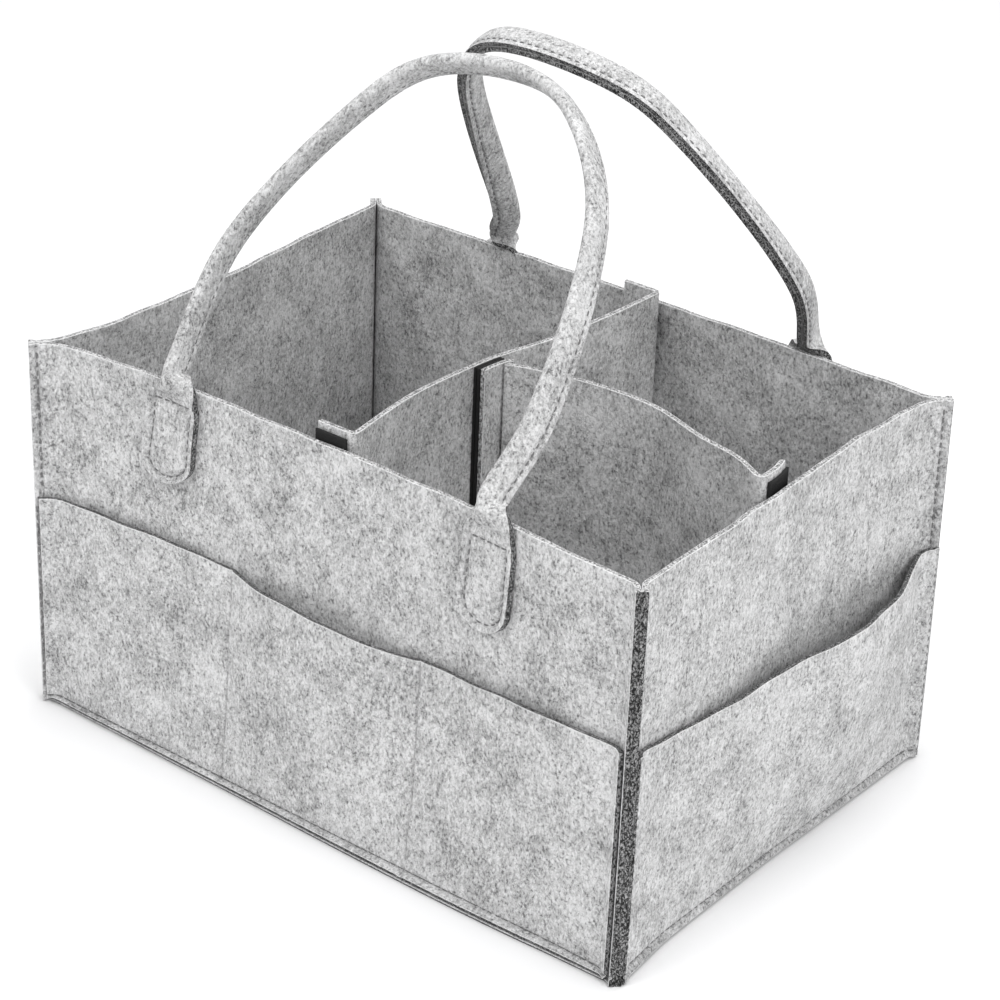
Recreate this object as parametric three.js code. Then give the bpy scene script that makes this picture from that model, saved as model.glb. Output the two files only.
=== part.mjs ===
// Diaper caddy of thick grey felt: a floor and four walls sewn with outward seams, pockets on
// every side, two handles of folded strap and two loose dividers that grip with hook tape.
// Millimetres, +Z up. The origin is on the floor under the middle, the front faces -Y.
import * as THREE from "three";

// Materials in thickness, and the clearance between layers that lie on each other
const feltThickness = 2.5;
const tapeThickness = 1.4;
const layerGap = 0.3;

// The box, between the corner points where two walls meet
const boxLength = 330;
const boxDepth = 228;
const wallHeight = 187;

// Corner seams: both walls turn out along the diagonal and end in a cut edge
const cornerSeamLength = 5.7;
const cornerSoftness = 1.5;
const cornerSoftnessLeast = 3;

// Bottom seam: the walls and the floor stand on their cut edges
const bottomSeamHeight = 4.5;
const bottomSeamFlare = 2.5;
const flarePower = 1.5;
const seatInset = 1;

// The floor curls over its own seam and sinks to the surface that the caddy stands on
const floorCurlRise = 1.2;
const floorCurlRun = 2.8;
const floorSlopeRun = 38;
const floorFlatRun = 45;
const floorCornerRadius = 6;
const floorCurlStartShares = { run: 1 / 3, rise: 3 / 4 };

// How far the top of each wall leans in, with its shares from one corner to the other
const frontLean = 12;
const frontLeanShares = [0.5, 0.84, 0.88, 0.88, 0.88, 0.88, 0.88, 0.72, 0.4];
const rightLean = 8;
const rightLeanShares = [0.25, 0.33, 0.37, 0.43, 0.5, 0.65, 0.88, 1, 0.5];
const backLean = 2;
const backLeanShares = [1, 0.9, 0.6, 0.4, 0.4, 0.4, 0.6, 0.8, 1];
const leftLean = 8;
const leftLeanShares = [0.1, 0.2, 0.44, 0.72, 0.95, 1, 0.95, 0.78, 0.3];

// Pockets: a strip with three pockets on the long sides, one wide pocket on each short side
const stripHeight = 110;
const stripSeamSpacing = 110;
const middlePocketMouth = 8;
const outerPocketMouth = 6;
const sidePocketHeight = 105;
const sidePocketMouth = 14;
const rightMouthShares = [0, 0.02, 0.18, 0.37, 0.56, 0.95, 1, 0.64, 0];
const leftMouthShares = [0, 0.5, 0.85, 1, 0.75, 0.45, 0.25, 0.05, 0];

// Handles: a strap sewn flat to the wall by its tabs and folded lengthwise above them
const strapWidth = 25;
const neckWidth = 21;
const neckLength = 16;
const tabLength = 50;
const handleSpacing = 178.8;
const swingHeight = 1.5;
const swingStandOff = 1.5;
const swingClearance = 0.8;
const frontHandleOffset = -3.3;
const frontHandleRise = 177;
const frontHandleTilt = THREE.MathUtils.degToRad(38);
const frontHandleShares = [
  [-1, 0], [-1, 0.04], [-1.02, 0.375], [-0.68, 0.77], [-0.4, 0.94], [0.06, 1],
  [0.44, 0.965], [0.85, 0.75], [1.05, 0.245], [1, 0.04], [1, 0],
];
const frontTwistDegrees = [26, 38, 5, 5, 47];
const backHandleOffset = -4;
const backHandleRise = 165;
const backHandleTilt = THREE.MathUtils.degToRad(31);
const backHandleShares = [
  [-1, 0], [-1, 0.04], [-1.065, 0.285], [-0.655, 0.787], [-0.42, 0.925], [0.165, 0.986],
  [0.47, 0.94], [0.7, 0.77], [0.91, 0.13], [1, 0.04], [1, 0],
];
const backTwistDegrees = [0, 26, 11, 10, 65];

// Dividers: bent plan lines that run straight up, with folded flaps at their ends
const dividerHeight = 187;
const foldRadius = 2.2;
const flapLength = 17;
const flapCurl = THREE.MathUtils.degToRad(22);
const stripCurl = THREE.MathUtils.degToRad(44);
const longDividerSway = 13;
const longDividerShares = [
  [0.5, -1], [0, -0.54], [0.08, -0.1], [0.27, 0.08], [0.65, 0.31], [0.93, 0.7], [1, 1],
];
const shortDividerSway = 11;
const shortDividerStart = -2.5;
const shortDividerShares = [
  [0, 0], [0.105, 0.5], [0.31, 1], [0.52, 0.97], [0.73, 0.07], [0.89, -0.42], [1, -1.15],
];
const stripFront = -14;
const stripBack = 0;
const stripCurlRun = 4.7;
const tapeBack = 2;
const tapeOverhang = 4;
const tapeEndMargin = 3;

// Steps of the sheets: across a long wall, across a short wall, round a strap's end and up the walls
const longWallSteps = 40;
const shortWallSteps = 30;
const strapEndSteps = 3;
const seamHeightShares = [0, 0.5, 1];
const pocketHeightShares = [0.12, 0.35, 0.65, 1];
const upperHeightShares = [0.35, 0.7, 1];

const layerPitch = feltThickness + layerGap;
const quarterTurn = Math.PI / 2;

const feltColour = 0xc8c9ca;
const tapeColour = 0x17181a;

function felt() {
  return new THREE.MeshStandardMaterial({ color: feltColour, roughness: 0.95, metalness: 0 });
}

function hookTape() {
  return new THREE.MeshStandardMaterial({ color: tapeColour, roughness: 0.8, metalness: 0 });
}

// A smooth curve through shares at even steps, read at a place from -1 to 1
function readShares(shares) {
  const curve = new THREE.SplineCurve(shares.map((share, step) => new THREE.Vector2(step, share)));
  return (place) => curve.getPoint((THREE.MathUtils.clamp(place, -1, 1) + 1) / 2).y;
}

// The four sides. Each is drawn facing -Y and turned into its place.
function makeSide(turn, half, out, lean, leanShares, pocketTop, pocketMouth) {
  return { turn, half, out, lean, leanAt: readShares(leanShares), pocketTop, pocketMouth };
}

// A strip is sewn to its wall at two seams, and each of its three pockets bulges between them
function stripMouth(a) {
  const seam = stripSeamSpacing / 2;
  const reach = Math.abs(a);
  if (reach < seam) {
    return middlePocketMouth * (1 - (reach / seam) ** 2);
  }
  const outerHalf = (boxLength / 2 - seam) / 2;
  const outerPlace = (reach - seam - outerHalf) / outerHalf;
  return outerPocketMouth * Math.max(1 - outerPlace ** 2, 0);
}

function wideMouth(shares) {
  const mouthAt = readShares(shares);
  return (a) => sidePocketMouth * Math.max(mouthAt(a / (boxDepth / 2)), 0);
}

const sides = {
  front: makeSide(0, boxLength / 2, boxDepth / 2, frontLean, frontLeanShares, stripHeight, stripMouth),
  right: makeSide(
    quarterTurn, boxDepth / 2, boxLength / 2, rightLean, rightLeanShares,
    sidePocketHeight, wideMouth(rightMouthShares),
  ),
  back: makeSide(
    2 * quarterTurn, boxLength / 2, boxDepth / 2, backLean, backLeanShares, stripHeight, stripMouth,
  ),
  left: makeSide(
    3 * quarterTurn, boxDepth / 2, boxLength / 2, leftLean, leftLeanShares,
    sidePocketHeight, wideMouth(leftMouthShares),
  ),
};

// The lesser of two values, rounded over where they are within the reach of each other
function smoothLesser(first, second, reach) {
  const nearness = Math.max(reach - Math.abs(first - second), 0) / reach;
  return Math.min(first, second) - (nearness * nearness * reach) / 4;
}

// Rises from 0 at the bottom seam to 1 at the top, steep first and upright at the end
function riseTo(z, top) {
  const place = THREE.MathUtils.clamp((z - bottomSeamHeight) / (top - bottomSeamHeight), 0, 1);
  return 1 - (1 - place) ** 2;
}

function seamFlare(z) {
  const place = Math.max((bottomSeamHeight - z) / bottomSeamHeight, 0);
  return bottomSeamFlare * place ** flarePower;
}

// How much further apart the layers lie, measured level, where the seam margin slants
function seamSpread(z) {
  const place = Math.max((bottomSeamHeight - z) / bottomSeamHeight, 0);
  const slope = ((bottomSeamFlare * flarePower) / bottomSeamHeight) * place ** (flarePower - 1);
  return Math.hypot(1, slope);
}

function wallInset(side, a, z) {
  const top = side.lean * side.leanAt(a / side.half);
  return seatInset + (top - seatInset) * riseTo(z, wallHeight);
}

// How far the middle of a layer lies inside the line between the corner points. Layer 0 is
// the wall and layer 1 the pocket outside it. Near the corner it turns out along the diagonal.
function layerInset(side, layer, a, z) {
  const inset = wallInset(side, a, z);
  const mouth = layer * side.pocketMouth(a) * riseTo(z, side.pocketTop);
  const along = inset - seamFlare(z) - layer * layerPitch * seamSpread(z) - mouth;
  const diagonal = side.half - Math.abs(a) - Math.SQRT2 * (layer + 1 / 2) * layerPitch;
  const softness = Math.max(cornerSoftnessLeast, inset + cornerSoftness);
  return smoothLesser(diagonal, along, softness);
}

function layerPoint(side, layer, a, z, lift = 0) {
  return new THREE.Vector3(a, layerInset(side, layer, a, z) - side.out - lift, z);
}

// The distance from the middle of the box to a wall's inner face, at its nearest in a stretch
function innerReach(side, from, to) {
  const steps = 8;
  let nearest = side.out;
  for (let i = 0; i <= steps; i++) {
    const a = THREE.MathUtils.lerp(from, to, i / steps);
    nearest = Math.min(nearest, side.out - wallInset(side, a, wallHeight));
  }
  return nearest - feltThickness / 2;
}

// A closed body between two grids of points. A round one closes on itself and is filled at
// its last row.
function bodyBetween(outer, inner, round = false) {
  const rows = outer.length;
  const columns = outer[0].length;
  const positions = [...outer.flat(), ...inner.flat()].flatMap((point) => point.toArray());
  const at = (face, row, column) => (face * rows + row) * columns + (column % columns);
  const triangles = [];
  const quad = (a, b, c, d) => triangles.push([a, b, c], [a, c, d]);
  const lastColumn = round ? columns : columns - 1;
  for (let row = 0; row < rows - 1; row++) {
    for (let column = 0; column < lastColumn; column++) {
      quad(at(0, row, column), at(0, row, column + 1), at(0, row + 1, column + 1), at(0, row + 1, column));
      quad(at(1, row, column), at(1, row + 1, column), at(1, row + 1, column + 1), at(1, row, column + 1));
    }
  }
  for (let column = 0; column < lastColumn; column++) {
    quad(at(0, 0, column), at(1, 0, column), at(1, 0, column + 1), at(0, 0, column + 1));
  }
  if (round) {
    for (let column = 1; column < columns - 1; column++) {
      triangles.push([at(0, rows - 1, 0), at(0, rows - 1, column), at(0, rows - 1, column + 1)]);
      triangles.push([at(1, rows - 1, 0), at(1, rows - 1, column + 1), at(1, rows - 1, column)]);
    }
  } else {
    for (let column = 0; column < lastColumn; column++) {
      quad(
        at(0, rows - 1, column), at(0, rows - 1, column + 1),
        at(1, rows - 1, column + 1), at(1, rows - 1, column),
      );
    }
    for (let row = 0; row < rows - 1; row++) {
      quad(at(0, row, 0), at(0, row + 1, 0), at(1, row + 1, 0), at(1, row, 0));
      quad(
        at(0, row, lastColumn), at(1, row, lastColumn),
        at(1, row + 1, lastColumn), at(0, row + 1, lastColumn),
      );
    }
  }
  return facingOut(positions, triangles);
}

function facingOut(positions, triangles) {
  const corner = (index) => new THREE.Vector3().fromArray(positions, index * 3);
  let volume = 0;
  for (const [a, b, c] of triangles) {
    volume += corner(a).dot(corner(b).cross(corner(c)));
  }
  const faces = volume > 0 ? triangles : triangles.map(([a, b, c]) => [a, c, b]);
  const geometry = new THREE.BufferGeometry();
  geometry.setAttribute("position", new THREE.Float32BufferAttribute(positions, 3));
  geometry.setIndex(faces.flat());
  geometry.computeVertexNormals();
  return geometry;
}

// A sheet of even thickness round a grid of middle points. It is thickened level, so that
// cut edges that run level stay so.
function levelSheet(middle, thickness) {
  const last = { row: middle.length - 1, column: middle[0].length - 1 };
  const pushed = (direction) => middle.map((line, row) => line.map((point, column) => {
    const above = middle[Math.min(row + 1, last.row)][column];
    const up = above.clone().sub(middle[Math.max(row - 1, 0)][column]);
    const along = line[Math.min(column + 1, last.column)].clone().sub(line[Math.max(column - 1, 0)]);
    const normal = along.cross(up).normalize();
    normal.z = 0;
    return point.clone().addScaledVector(normal, (direction * thickness) / 2 / normal.lengthSq());
  }));
  return bodyBetween(pushed(1), pushed(-1));
}

function named(name, geometry, material) {
  const mesh = new THREE.Mesh(geometry, material);
  mesh.name = name;
  return mesh;
}

// Walls and pockets

function heightsTo(top, isWall) {
  const seam = seamHeightShares.map((share) => share * bottomSeamHeight);
  const pocket = pocketHeightShares.map((share) => THREE.MathUtils.lerp(bottomSeamHeight, top, share));
  const upper = upperHeightShares.map((share) => THREE.MathUtils.lerp(top, wallHeight, share));
  return isWall ? [...seam, ...pocket, ...upper] : [...seam, ...pocket];
}

function sideLayer(side, layer) {
  const steps = side.half > side.out ? longWallSteps : shortWallSteps;
  const seamEnd = (cornerSeamLength - (layer + 1 / 2) * layerPitch) / Math.SQRT2;
  const middle = heightsTo(side.pocketTop, layer === 0).map((z) => {
    const line = [];
    for (let i = 0; i <= steps; i++) {
      const a = (side.half + seamEnd) * Math.sin(quarterTurn * ((2 * i) / steps - 1));
      line.push(layerPoint(side, layer, a, z));
    }
    return line;
  });
  return levelSheet(middle, feltThickness);
}

// Floor

function roundedLoop(halfLength, halfDepth, radius, z) {
  const arcSteps = 4;
  const loop = [];
  for (let corner = 0; corner < 4; corner++) {
    const middle = (corner + 1 / 2) * quarterTurn;
    const x = Math.sign(Math.cos(middle)) * (halfLength - radius);
    const y = Math.sign(Math.sin(middle)) * (halfDepth - radius);
    for (let i = 0; i <= arcSteps; i++) {
      const angle = (corner + i / arcSteps) * quarterTurn;
      loop.push(new THREE.Vector3(x + radius * Math.cos(angle), y + radius * Math.sin(angle), z));
    }
  }
  return loop;
}

function floorGeometry() {
  const margin = seamHeightShares.map((share) => {
    const z = share * bottomSeamHeight;
    return new THREE.Vector2(seatInset - seamFlare(z) + layerPitch * seamSpread(z), z);
  });
  const edge = margin.at(-1);
  const curlTop = new THREE.Vector2(edge.x + floorCurlRun, edge.y + floorCurlRise);
  const curlStart = new THREE.Vector2(
    edge.x + floorCurlRun * floorCurlStartShares.run, edge.y + floorCurlRise * floorCurlStartShares.rise,
  );
  const slopeEnd = new THREE.Vector2(curlTop.x + floorSlopeRun, feltThickness / 2);
  const flatEnd = new THREE.Vector2(slopeEnd.x + floorFlatRun, feltThickness / 2);
  const profile = [...margin, curlStart, curlTop, slopeEnd, flatEnd];
  const face = (direction) => profile.map((point, i) => {
    const run = profile[Math.min(i + 1, profile.length - 1)].clone().sub(profile[Math.max(i - 1, 0)]);
    const normal = new THREE.Vector2(-run.y, run.x).normalize();
    if (i === 0) {
      normal.set(1 / normal.x, 0);
    } else if (i >= profile.length - 2) {
      normal.set(0, 1);
    }
    const place = point.clone().addScaledVector(normal, (direction * feltThickness) / 2);
    return roundedLoop(boxLength / 2 - place.x, boxDepth / 2 - place.x, floorCornerRadius, place.y);
  });
  return bodyBetween(face(1), face(-1), true);
}

const floorTop = bottomSeamHeight + floorCurlRise + feltThickness / 2;

// Handles

function makeHandle(side, offset, rise, tilt, shares, twists) {
  const feet = [offset - handleSpacing / 2, offset + handleSpacing / 2];
  const swingZ = wallHeight + swingHeight;
  const tabTop = swingZ - feltThickness / 2 - swingClearance;
  const tabOut = (a) => -layerPoint(side, 0, a, tabTop, layerPitch).y;
  const swingOut = Math.max(...feet.map(tabOut)) + swingStandOff;
  const arch = shares.map(([x, s]) => new THREE.Vector3(offset + (x * handleSpacing) / 2, 0, s * rise));
  return {
    side, feet, swingZ, tabTop, swingOut, tilt,
    line: new THREE.CatmullRomCurve3(arch, false, "centripetal"),
    twistAt: readShares(twists.map((twist) => THREE.MathUtils.degToRad(twist))),
  };
}

const handles = {
  front: makeHandle(
    sides.front, frontHandleOffset, frontHandleRise, frontHandleTilt, frontHandleShares, frontTwistDegrees,
  ),
  back: makeHandle(
    sides.back, backHandleOffset, backHandleRise, backHandleTilt, backHandleShares, backTwistDegrees,
  ),
};

// A tab with a round lower end, sewn flat on the outside of its wall
function tabGeometry(handle, foot) {
  const halfWidth = strapWidth / 2;
  const across = 6;
  const roundSteps = 6;
  const firstRound = 1 / 8;
  const bottom = handle.tabTop - tabLength;
  const rows = [];
  for (let i = 0; i <= roundSteps; i++) {
    const angle = THREE.MathUtils.lerp(firstRound, 1, i / roundSteps) * quarterTurn;
    rows.push([bottom + halfWidth * (1 - Math.cos(angle)), halfWidth * Math.sin(angle)]);
  }
  rows.push([handle.tabTop - neckLength / 2, halfWidth]);
  rows.push([handle.tabTop, neckWidth / 2]);
  const middle = rows.map(([z, half]) => {
    const line = [];
    for (let i = 0; i <= across; i++) {
      line.push(layerPoint(handle.side, 0, foot + half * ((2 * i) / across - 1), z, layerPitch));
    }
    return line;
  });
  return levelSheet(middle, feltThickness);
}

// Half the folded section, as places along the arch's own normal and through its plane
function foldedHalf(width, angle) {
  const radius = (feltThickness + layerGap) / 2;
  const bendSteps = 3;
  const half = [];
  for (let i = 0; i <= bendSteps; i++) {
    const part = (angle * i) / bendSteps;
    half.push({ p: radius * Math.sin(part), q: radius * (1 - Math.cos(part)), angle: part });
  }
  const straight = width / 2 - radius * angle;
  const end = half.at(-1);
  half.push({ p: end.p + straight * Math.cos(angle), q: end.q + straight * Math.sin(angle), angle });
  return half;
}

function foldedSection(width, angle) {
  const right = foldedHalf(width, angle);
  const left = right.slice(1).map(({ p, q, angle: part }) => ({ p: -p, q, angle: -part }));
  const balance = (width / 4) * Math.sin(angle);
  return [...left.reverse(), ...right].map((place) => ({ ...place, q: place.q - balance }));
}

// Distances along the strap: a rounded end at each foot, the two necks and the arch between
function strapStations(length) {
  const neckSteps = 6;
  const archSteps = 24;
  const radius = feltThickness / 2;
  const end = [];
  for (let i = strapEndSteps; i > 0; i--) {
    const angle = (quarterTurn * i) / (strapEndSteps + 1);
    end.push({ distance: -radius * Math.sin(angle), thinning: Math.cos(angle) });
  }
  const neck = [];
  for (let i = 0; i < neckSteps; i++) {
    neck.push({ distance: (neckLength * i) / neckSteps, thinning: 1 });
  }
  const foot = [...end, ...neck];
  const arch = [];
  for (let i = 0; i <= archSteps; i++) {
    const distance = THREE.MathUtils.lerp(neckLength, length - neckLength, i / archSteps);
    arch.push({ distance, thinning: 1 });
  }
  const mirrored = foot.map((station) => ({ ...station, distance: length - station.distance }));
  const farFoot = mirrored.reverse();
  return [...foot, ...arch, ...farFoot];
}

// The strap is flat where it leaves the tab and folds lengthwise along its neck. It is drawn
// upright round its swing line.
function strapGeometry(handle) {
  const { line, twistAt } = handle;
  const length = line.getLength();
  const plane = new THREE.Vector3(0, 1, 0);
  const outer = [];
  const inner = [];
  for (const { distance, thinning } of strapStations(length)) {
    const share = THREE.MathUtils.clamp(distance / length, 0, 1);
    const along = line.getTangentAt(share);
    const centre = line.getPointAt(share).addScaledVector(along, distance - share * length);
    const normal = new THREE.Vector3(-along.z, 0, along.x);
    const fromFoot = Math.min(distance, length - distance);
    const folded = THREE.MathUtils.smoothstep(fromFoot, 0, neckLength);
    const twist = folded * twistAt(2 * share - 1);
    const across = normal.clone().multiplyScalar(Math.cos(twist)).addScaledVector(plane, -Math.sin(twist));
    const through = plane.clone().multiplyScalar(Math.cos(twist)).addScaledVector(normal, Math.sin(twist));
    const section = foldedSection(THREE.MathUtils.lerp(neckWidth, strapWidth, folded), folded * quarterTurn);
    const face = (direction) => section.map(({ p, q, angle }) => {
      const lift = (direction * thinning * feltThickness) / 2;
      return centre.clone()
        .addScaledVector(across, p + lift * Math.sin(angle))
        .addScaledVector(through, q - lift * Math.cos(angle));
    });
    outer.push(face(1));
    inner.push(face(-1));
  }
  return bodyBetween(outer, inner);
}

function strapMesh(name, handle) {
  const mesh = named(name, strapGeometry(handle), felt());
  mesh.position.set(0, -handle.swingOut, handle.swingZ);
  mesh.rotation.x = -handle.tilt;
  return mesh;
}

// Dividers

// Goes on from the end of a line through stretches of a length and a turn, left positive
function goOn(line, stretches) {
  const steps = 5;
  const last = line.at(-1);
  const before = line.at(-2);
  let heading = Math.atan2(last.y - before.y, last.x - before.x);
  const added = [];
  let place = last;
  for (const { length, turn } of stretches) {
    for (let i = 0; i < steps; i++) {
      heading += turn / steps / 2;
      const step = new THREE.Vector2(Math.cos(heading), Math.sin(heading));
      place = place.clone().addScaledVector(step, length / steps);
      heading += turn / steps / 2;
      added.push(place);
    }
  }
  return added;
}

// A line beside another, at a distance to its left
function lineBeside(line, distance) {
  return line.map((place, i) => {
    const run = line[Math.min(i + 1, line.length - 1)].clone().sub(line[Math.max(i - 1, 0)]).normalize();
    return new THREE.Vector2(place.x - run.y * distance, place.y + run.x * distance);
  });
}

function upright(line, thickness, bottom, top) {
  const middle = [bottom, top].map((z) => line.map(({ x, y }) => new THREE.Vector3(x, y, z)));
  return levelSheet(middle, thickness);
}

const dividerBottom = floorTop + layerGap;
const dividerTop = dividerBottom + dividerHeight;
const tapeOnFelt = feltThickness / 2 + layerGap + tapeThickness / 2;
const tapeOnTape = tapeThickness + layerGap;
const endTapeDepth = layerGap + tapeThickness + layerGap + feltThickness / 2;

// The long divider runs from the front wall to the back wall, with a taped flap at each end
function longDividerLine() {
  const lineSteps = 24;
  const flapReach = longDividerSway / 2 - foldRadius - flapLength;
  const frontEnd = innerReach(sides.front, flapReach, longDividerSway) - endTapeDepth - foldRadius;
  const backEnd = innerReach(sides.back, -longDividerSway, flapLength) - endTapeDepth - foldRadius;
  const places = longDividerShares.map(([x, y]) => (
    new THREE.Vector2(x * longDividerSway, y * (y < 0 ? frontEnd : backEnd))
  ));
  return new THREE.SplineCurve(places).getSpacedPoints(lineSteps);
}

const foldLength = foldRadius * quarterTurn;

function longDivider() {
  const line = longDividerLine();
  const headed = (direction) => [
    { length: foldLength, turn: direction * quarterTurn + endSlant(line, direction) },
    { length: flapLength, turn: 0 },
  ];
  const frontFlap = goOn([...line].reverse(), headed(-1));
  const backFlap = goOn(line, headed(1));
  return { line, frontFlap, backFlap, whole: [...[...frontFlap].reverse(), ...line, ...backFlap] };
}

// The turn that brings an end of the line square to its wall
function endSlant(line, direction) {
  const [before, last] = direction > 0 ? line.slice(-2) : [line[1], line[0]];
  return Math.atan2(last.x - before.x, direction * (last.y - before.y)) * direction;
}

function endTape(flap, direction) {
  const flat = flap.slice(flap.length / 2 - 1);
  return upright(
    lineBeside(flat, direction * tapeOnFelt), tapeThickness,
    dividerBottom + tapeEndMargin, dividerTop - tapeEndMargin,
  );
}

// A stretch of the long divider's line between two places in depth, beside the line
function besideLong(line, from, to, distance) {
  const steps = 6;
  const fineSteps = 200;
  const fine = new THREE.SplineCurve(line).getSpacedPoints(fineSteps);
  const wanted = [];
  for (let i = 0; i <= steps; i++) {
    const y = THREE.MathUtils.lerp(from, to, i / steps);
    const nearer = (best, place) => (Math.abs(place.y - y) < Math.abs(best.y - y) ? place : best);
    wanted.push(fine.reduce(nearer));
  }
  return lineBeside(wanted, -distance);
}

const stripDistance = tapeOnFelt + tapeOnTape + tapeOnFelt;
const seamReach = 2 * feltThickness;

function shortDividerLine(long) {
  const lineSteps = 24;
  const strip = besideLong(long.line, stripFront, stripBack, stripDistance);
  const beside = strip.filter(({ y }) => Math.abs(y - shortDividerStart) < seamReach);
  const stripX = Math.max(...beside.map(({ x }) => x));
  const [, [firstX, firstY]] = shortDividerShares;
  const wallX = innerReach(sides.right, shortDividerStart - shortDividerSway, flapLength) - endTapeDepth;
  const span = wallX - stripX;
  const [[lateX, lateY], [endX, endY]] = shortDividerShares.slice(-2);
  const endSlope = Math.atan2((lateY - endY) * shortDividerSway, (endX - lateX) * span);
  const startSlope = Math.atan2(firstY * shortDividerSway, firstX * span);
  const startX = stripX + layerGap + (feltThickness / 2) * (1 + Math.sin(startSlope));
  const endReach = wallX - foldRadius * (1 + Math.sin(endSlope));
  const places = shortDividerShares.map(([x, y]) => new THREE.Vector2(
    THREE.MathUtils.lerp(startX, endReach, x), shortDividerStart + y * shortDividerSway,
  ));
  const line = new THREE.SplineCurve(places).getSpacedPoints(lineSteps);
  const flap = goOn(line, [
    { length: foldRadius * (quarterTurn + endSlope), turn: quarterTurn + endSlope },
    { length: flapLength, turn: flapCurl },
  ]);
  return { line, flap, whole: [...line, ...flap] };
}

// The strip that the short divider is sewn to. Its back end curls off the long divider.
function stripLine(long) {
  const flat = besideLong(long.line, stripFront, stripBack, stripDistance);
  return [...flat, ...goOn(flat, [{ length: stripCurlRun, turn: -stripCurl }])];
}

// Assembly

function addSide(caddy, name, side) {
  const group = new THREE.Group();
  group.rotation.z = side.turn;
  const pocketName = side.half > side.out ? `${name}_pocket_strip` : `${name}_pocket_panel`;
  group.add(named(`${name}_panel`, sideLayer(side, 0), felt()));
  group.add(named(pocketName, sideLayer(side, 1), felt()));
  const handle = handles[name];
  if (handle) {
    const tabNames = name === "front" ? ["left", "right"] : ["right", "left"];
    tabNames.forEach((place, i) => {
      group.add(named(`${name}_handle_${place}_tab`, tabGeometry(handle, handle.feet[i]), felt()));
    });
    group.add(strapMesh(`${name}_handle_strap`, handle));
  }
  caddy.add(group);
}

function addDividers(caddy) {
  const long = longDivider();
  const short = shortDividerLine(long);
  const tapeFront = stripFront - tapeOverhang;
  const jointTape = (distance) => upright(
    besideLong(long.line, tapeFront, tapeBack, distance), tapeThickness, dividerBottom, dividerTop,
  );
  const standing = (line) => upright(line, feltThickness, dividerBottom, dividerTop);
  caddy.add(named("long_divider", standing(long.whole), felt()));
  caddy.add(named("long_divider_front_hook_tape", endTape(long.frontFlap, 1), hookTape()));
  caddy.add(named("long_divider_back_hook_tape", endTape(long.backFlap, -1), hookTape()));
  caddy.add(named("long_divider_loop_tape", jointTape(tapeOnFelt), hookTape()));
  caddy.add(named("short_divider", standing(short.whole), felt()));
  caddy.add(named("short_divider_t_strip", standing(stripLine(long)), felt()));
  caddy.add(named("t_strip_hook_tape", jointTape(tapeOnFelt + tapeOnTape), hookTape()));
  caddy.add(named("short_divider_end_hook_tape", endTape(short.flap, -1), hookTape()));
}

function buildCaddy() {
  const caddy = new THREE.Group();
  caddy.name = "diaper_caddy";
  caddy.add(named("bottom_panel", floorGeometry(), felt()));
  for (const [name, side] of Object.entries(sides)) {
    addSide(caddy, name, side);
  }
  addDividers(caddy);
  return caddy;
}

export default buildCaddy();
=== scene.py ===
import math
from dataclasses import dataclass

import bpy
import numpy as np
from mathutils import Matrix, Vector


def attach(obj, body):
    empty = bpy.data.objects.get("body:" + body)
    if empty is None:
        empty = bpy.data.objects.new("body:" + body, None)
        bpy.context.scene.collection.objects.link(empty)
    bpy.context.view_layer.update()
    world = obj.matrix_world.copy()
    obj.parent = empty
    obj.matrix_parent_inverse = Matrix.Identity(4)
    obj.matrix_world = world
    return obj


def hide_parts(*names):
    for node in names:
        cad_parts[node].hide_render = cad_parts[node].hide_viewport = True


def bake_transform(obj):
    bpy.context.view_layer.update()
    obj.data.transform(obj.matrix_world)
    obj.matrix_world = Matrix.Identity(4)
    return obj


# Looks of a diaper caddy of thick grey felt, in metres. +Z is up and the front faces -Y.

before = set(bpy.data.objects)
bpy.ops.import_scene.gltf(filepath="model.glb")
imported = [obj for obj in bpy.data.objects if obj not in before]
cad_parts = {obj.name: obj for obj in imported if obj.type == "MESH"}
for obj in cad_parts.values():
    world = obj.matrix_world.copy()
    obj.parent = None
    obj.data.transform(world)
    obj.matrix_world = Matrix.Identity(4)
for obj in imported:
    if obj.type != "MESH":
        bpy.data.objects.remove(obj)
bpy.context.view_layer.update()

# Camera, solved from the box's corners in the photograph
CAMERA_PLACE = (0.7641, -0.9796, 0.7714)
CAMERA_AZIMUTH = math.radians(37.65)
CAMERA_ELEVATION = math.radians(27.60)
CAMERA_ROLL = math.radians(2.32)
CAMERA_LENS = 111.0
CAMERA_SENSOR = 36.0
CAMERA_REACH = 50.0

# Materials in thickness, and the clearance between layers that lie on each other
FELT = 0.0025
TAPE = 0.0014
GAP = 0.0003
PITCH = FELT + GAP

# The box, between the corner points where two walls meet
BOX_LENGTH = 0.330
BOX_DEPTH = 0.228
WALL_HEIGHT = 0.187
HALF_LENGTH = BOX_LENGTH / 2
HALF_DEPTH = BOX_DEPTH / 2

# Corner and bottom seams
CORNER_SEAM = 0.0057
CORNER_SOFTNESS = 0.0015
CORNER_SOFTNESS_LEAST = 0.003
SEAM_HEIGHT = 0.0045
SEAM_FLARE = 0.0025
FLARE_POWER = 1.5
FLARE_REACH = (0.012, 0.005)
SEAT_INSET = 0.001
WALL_LIFT = 0.0003
STRIP_LIFT = 0.0027
SIDE_POCKET_LIFT = 0.0010

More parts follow.
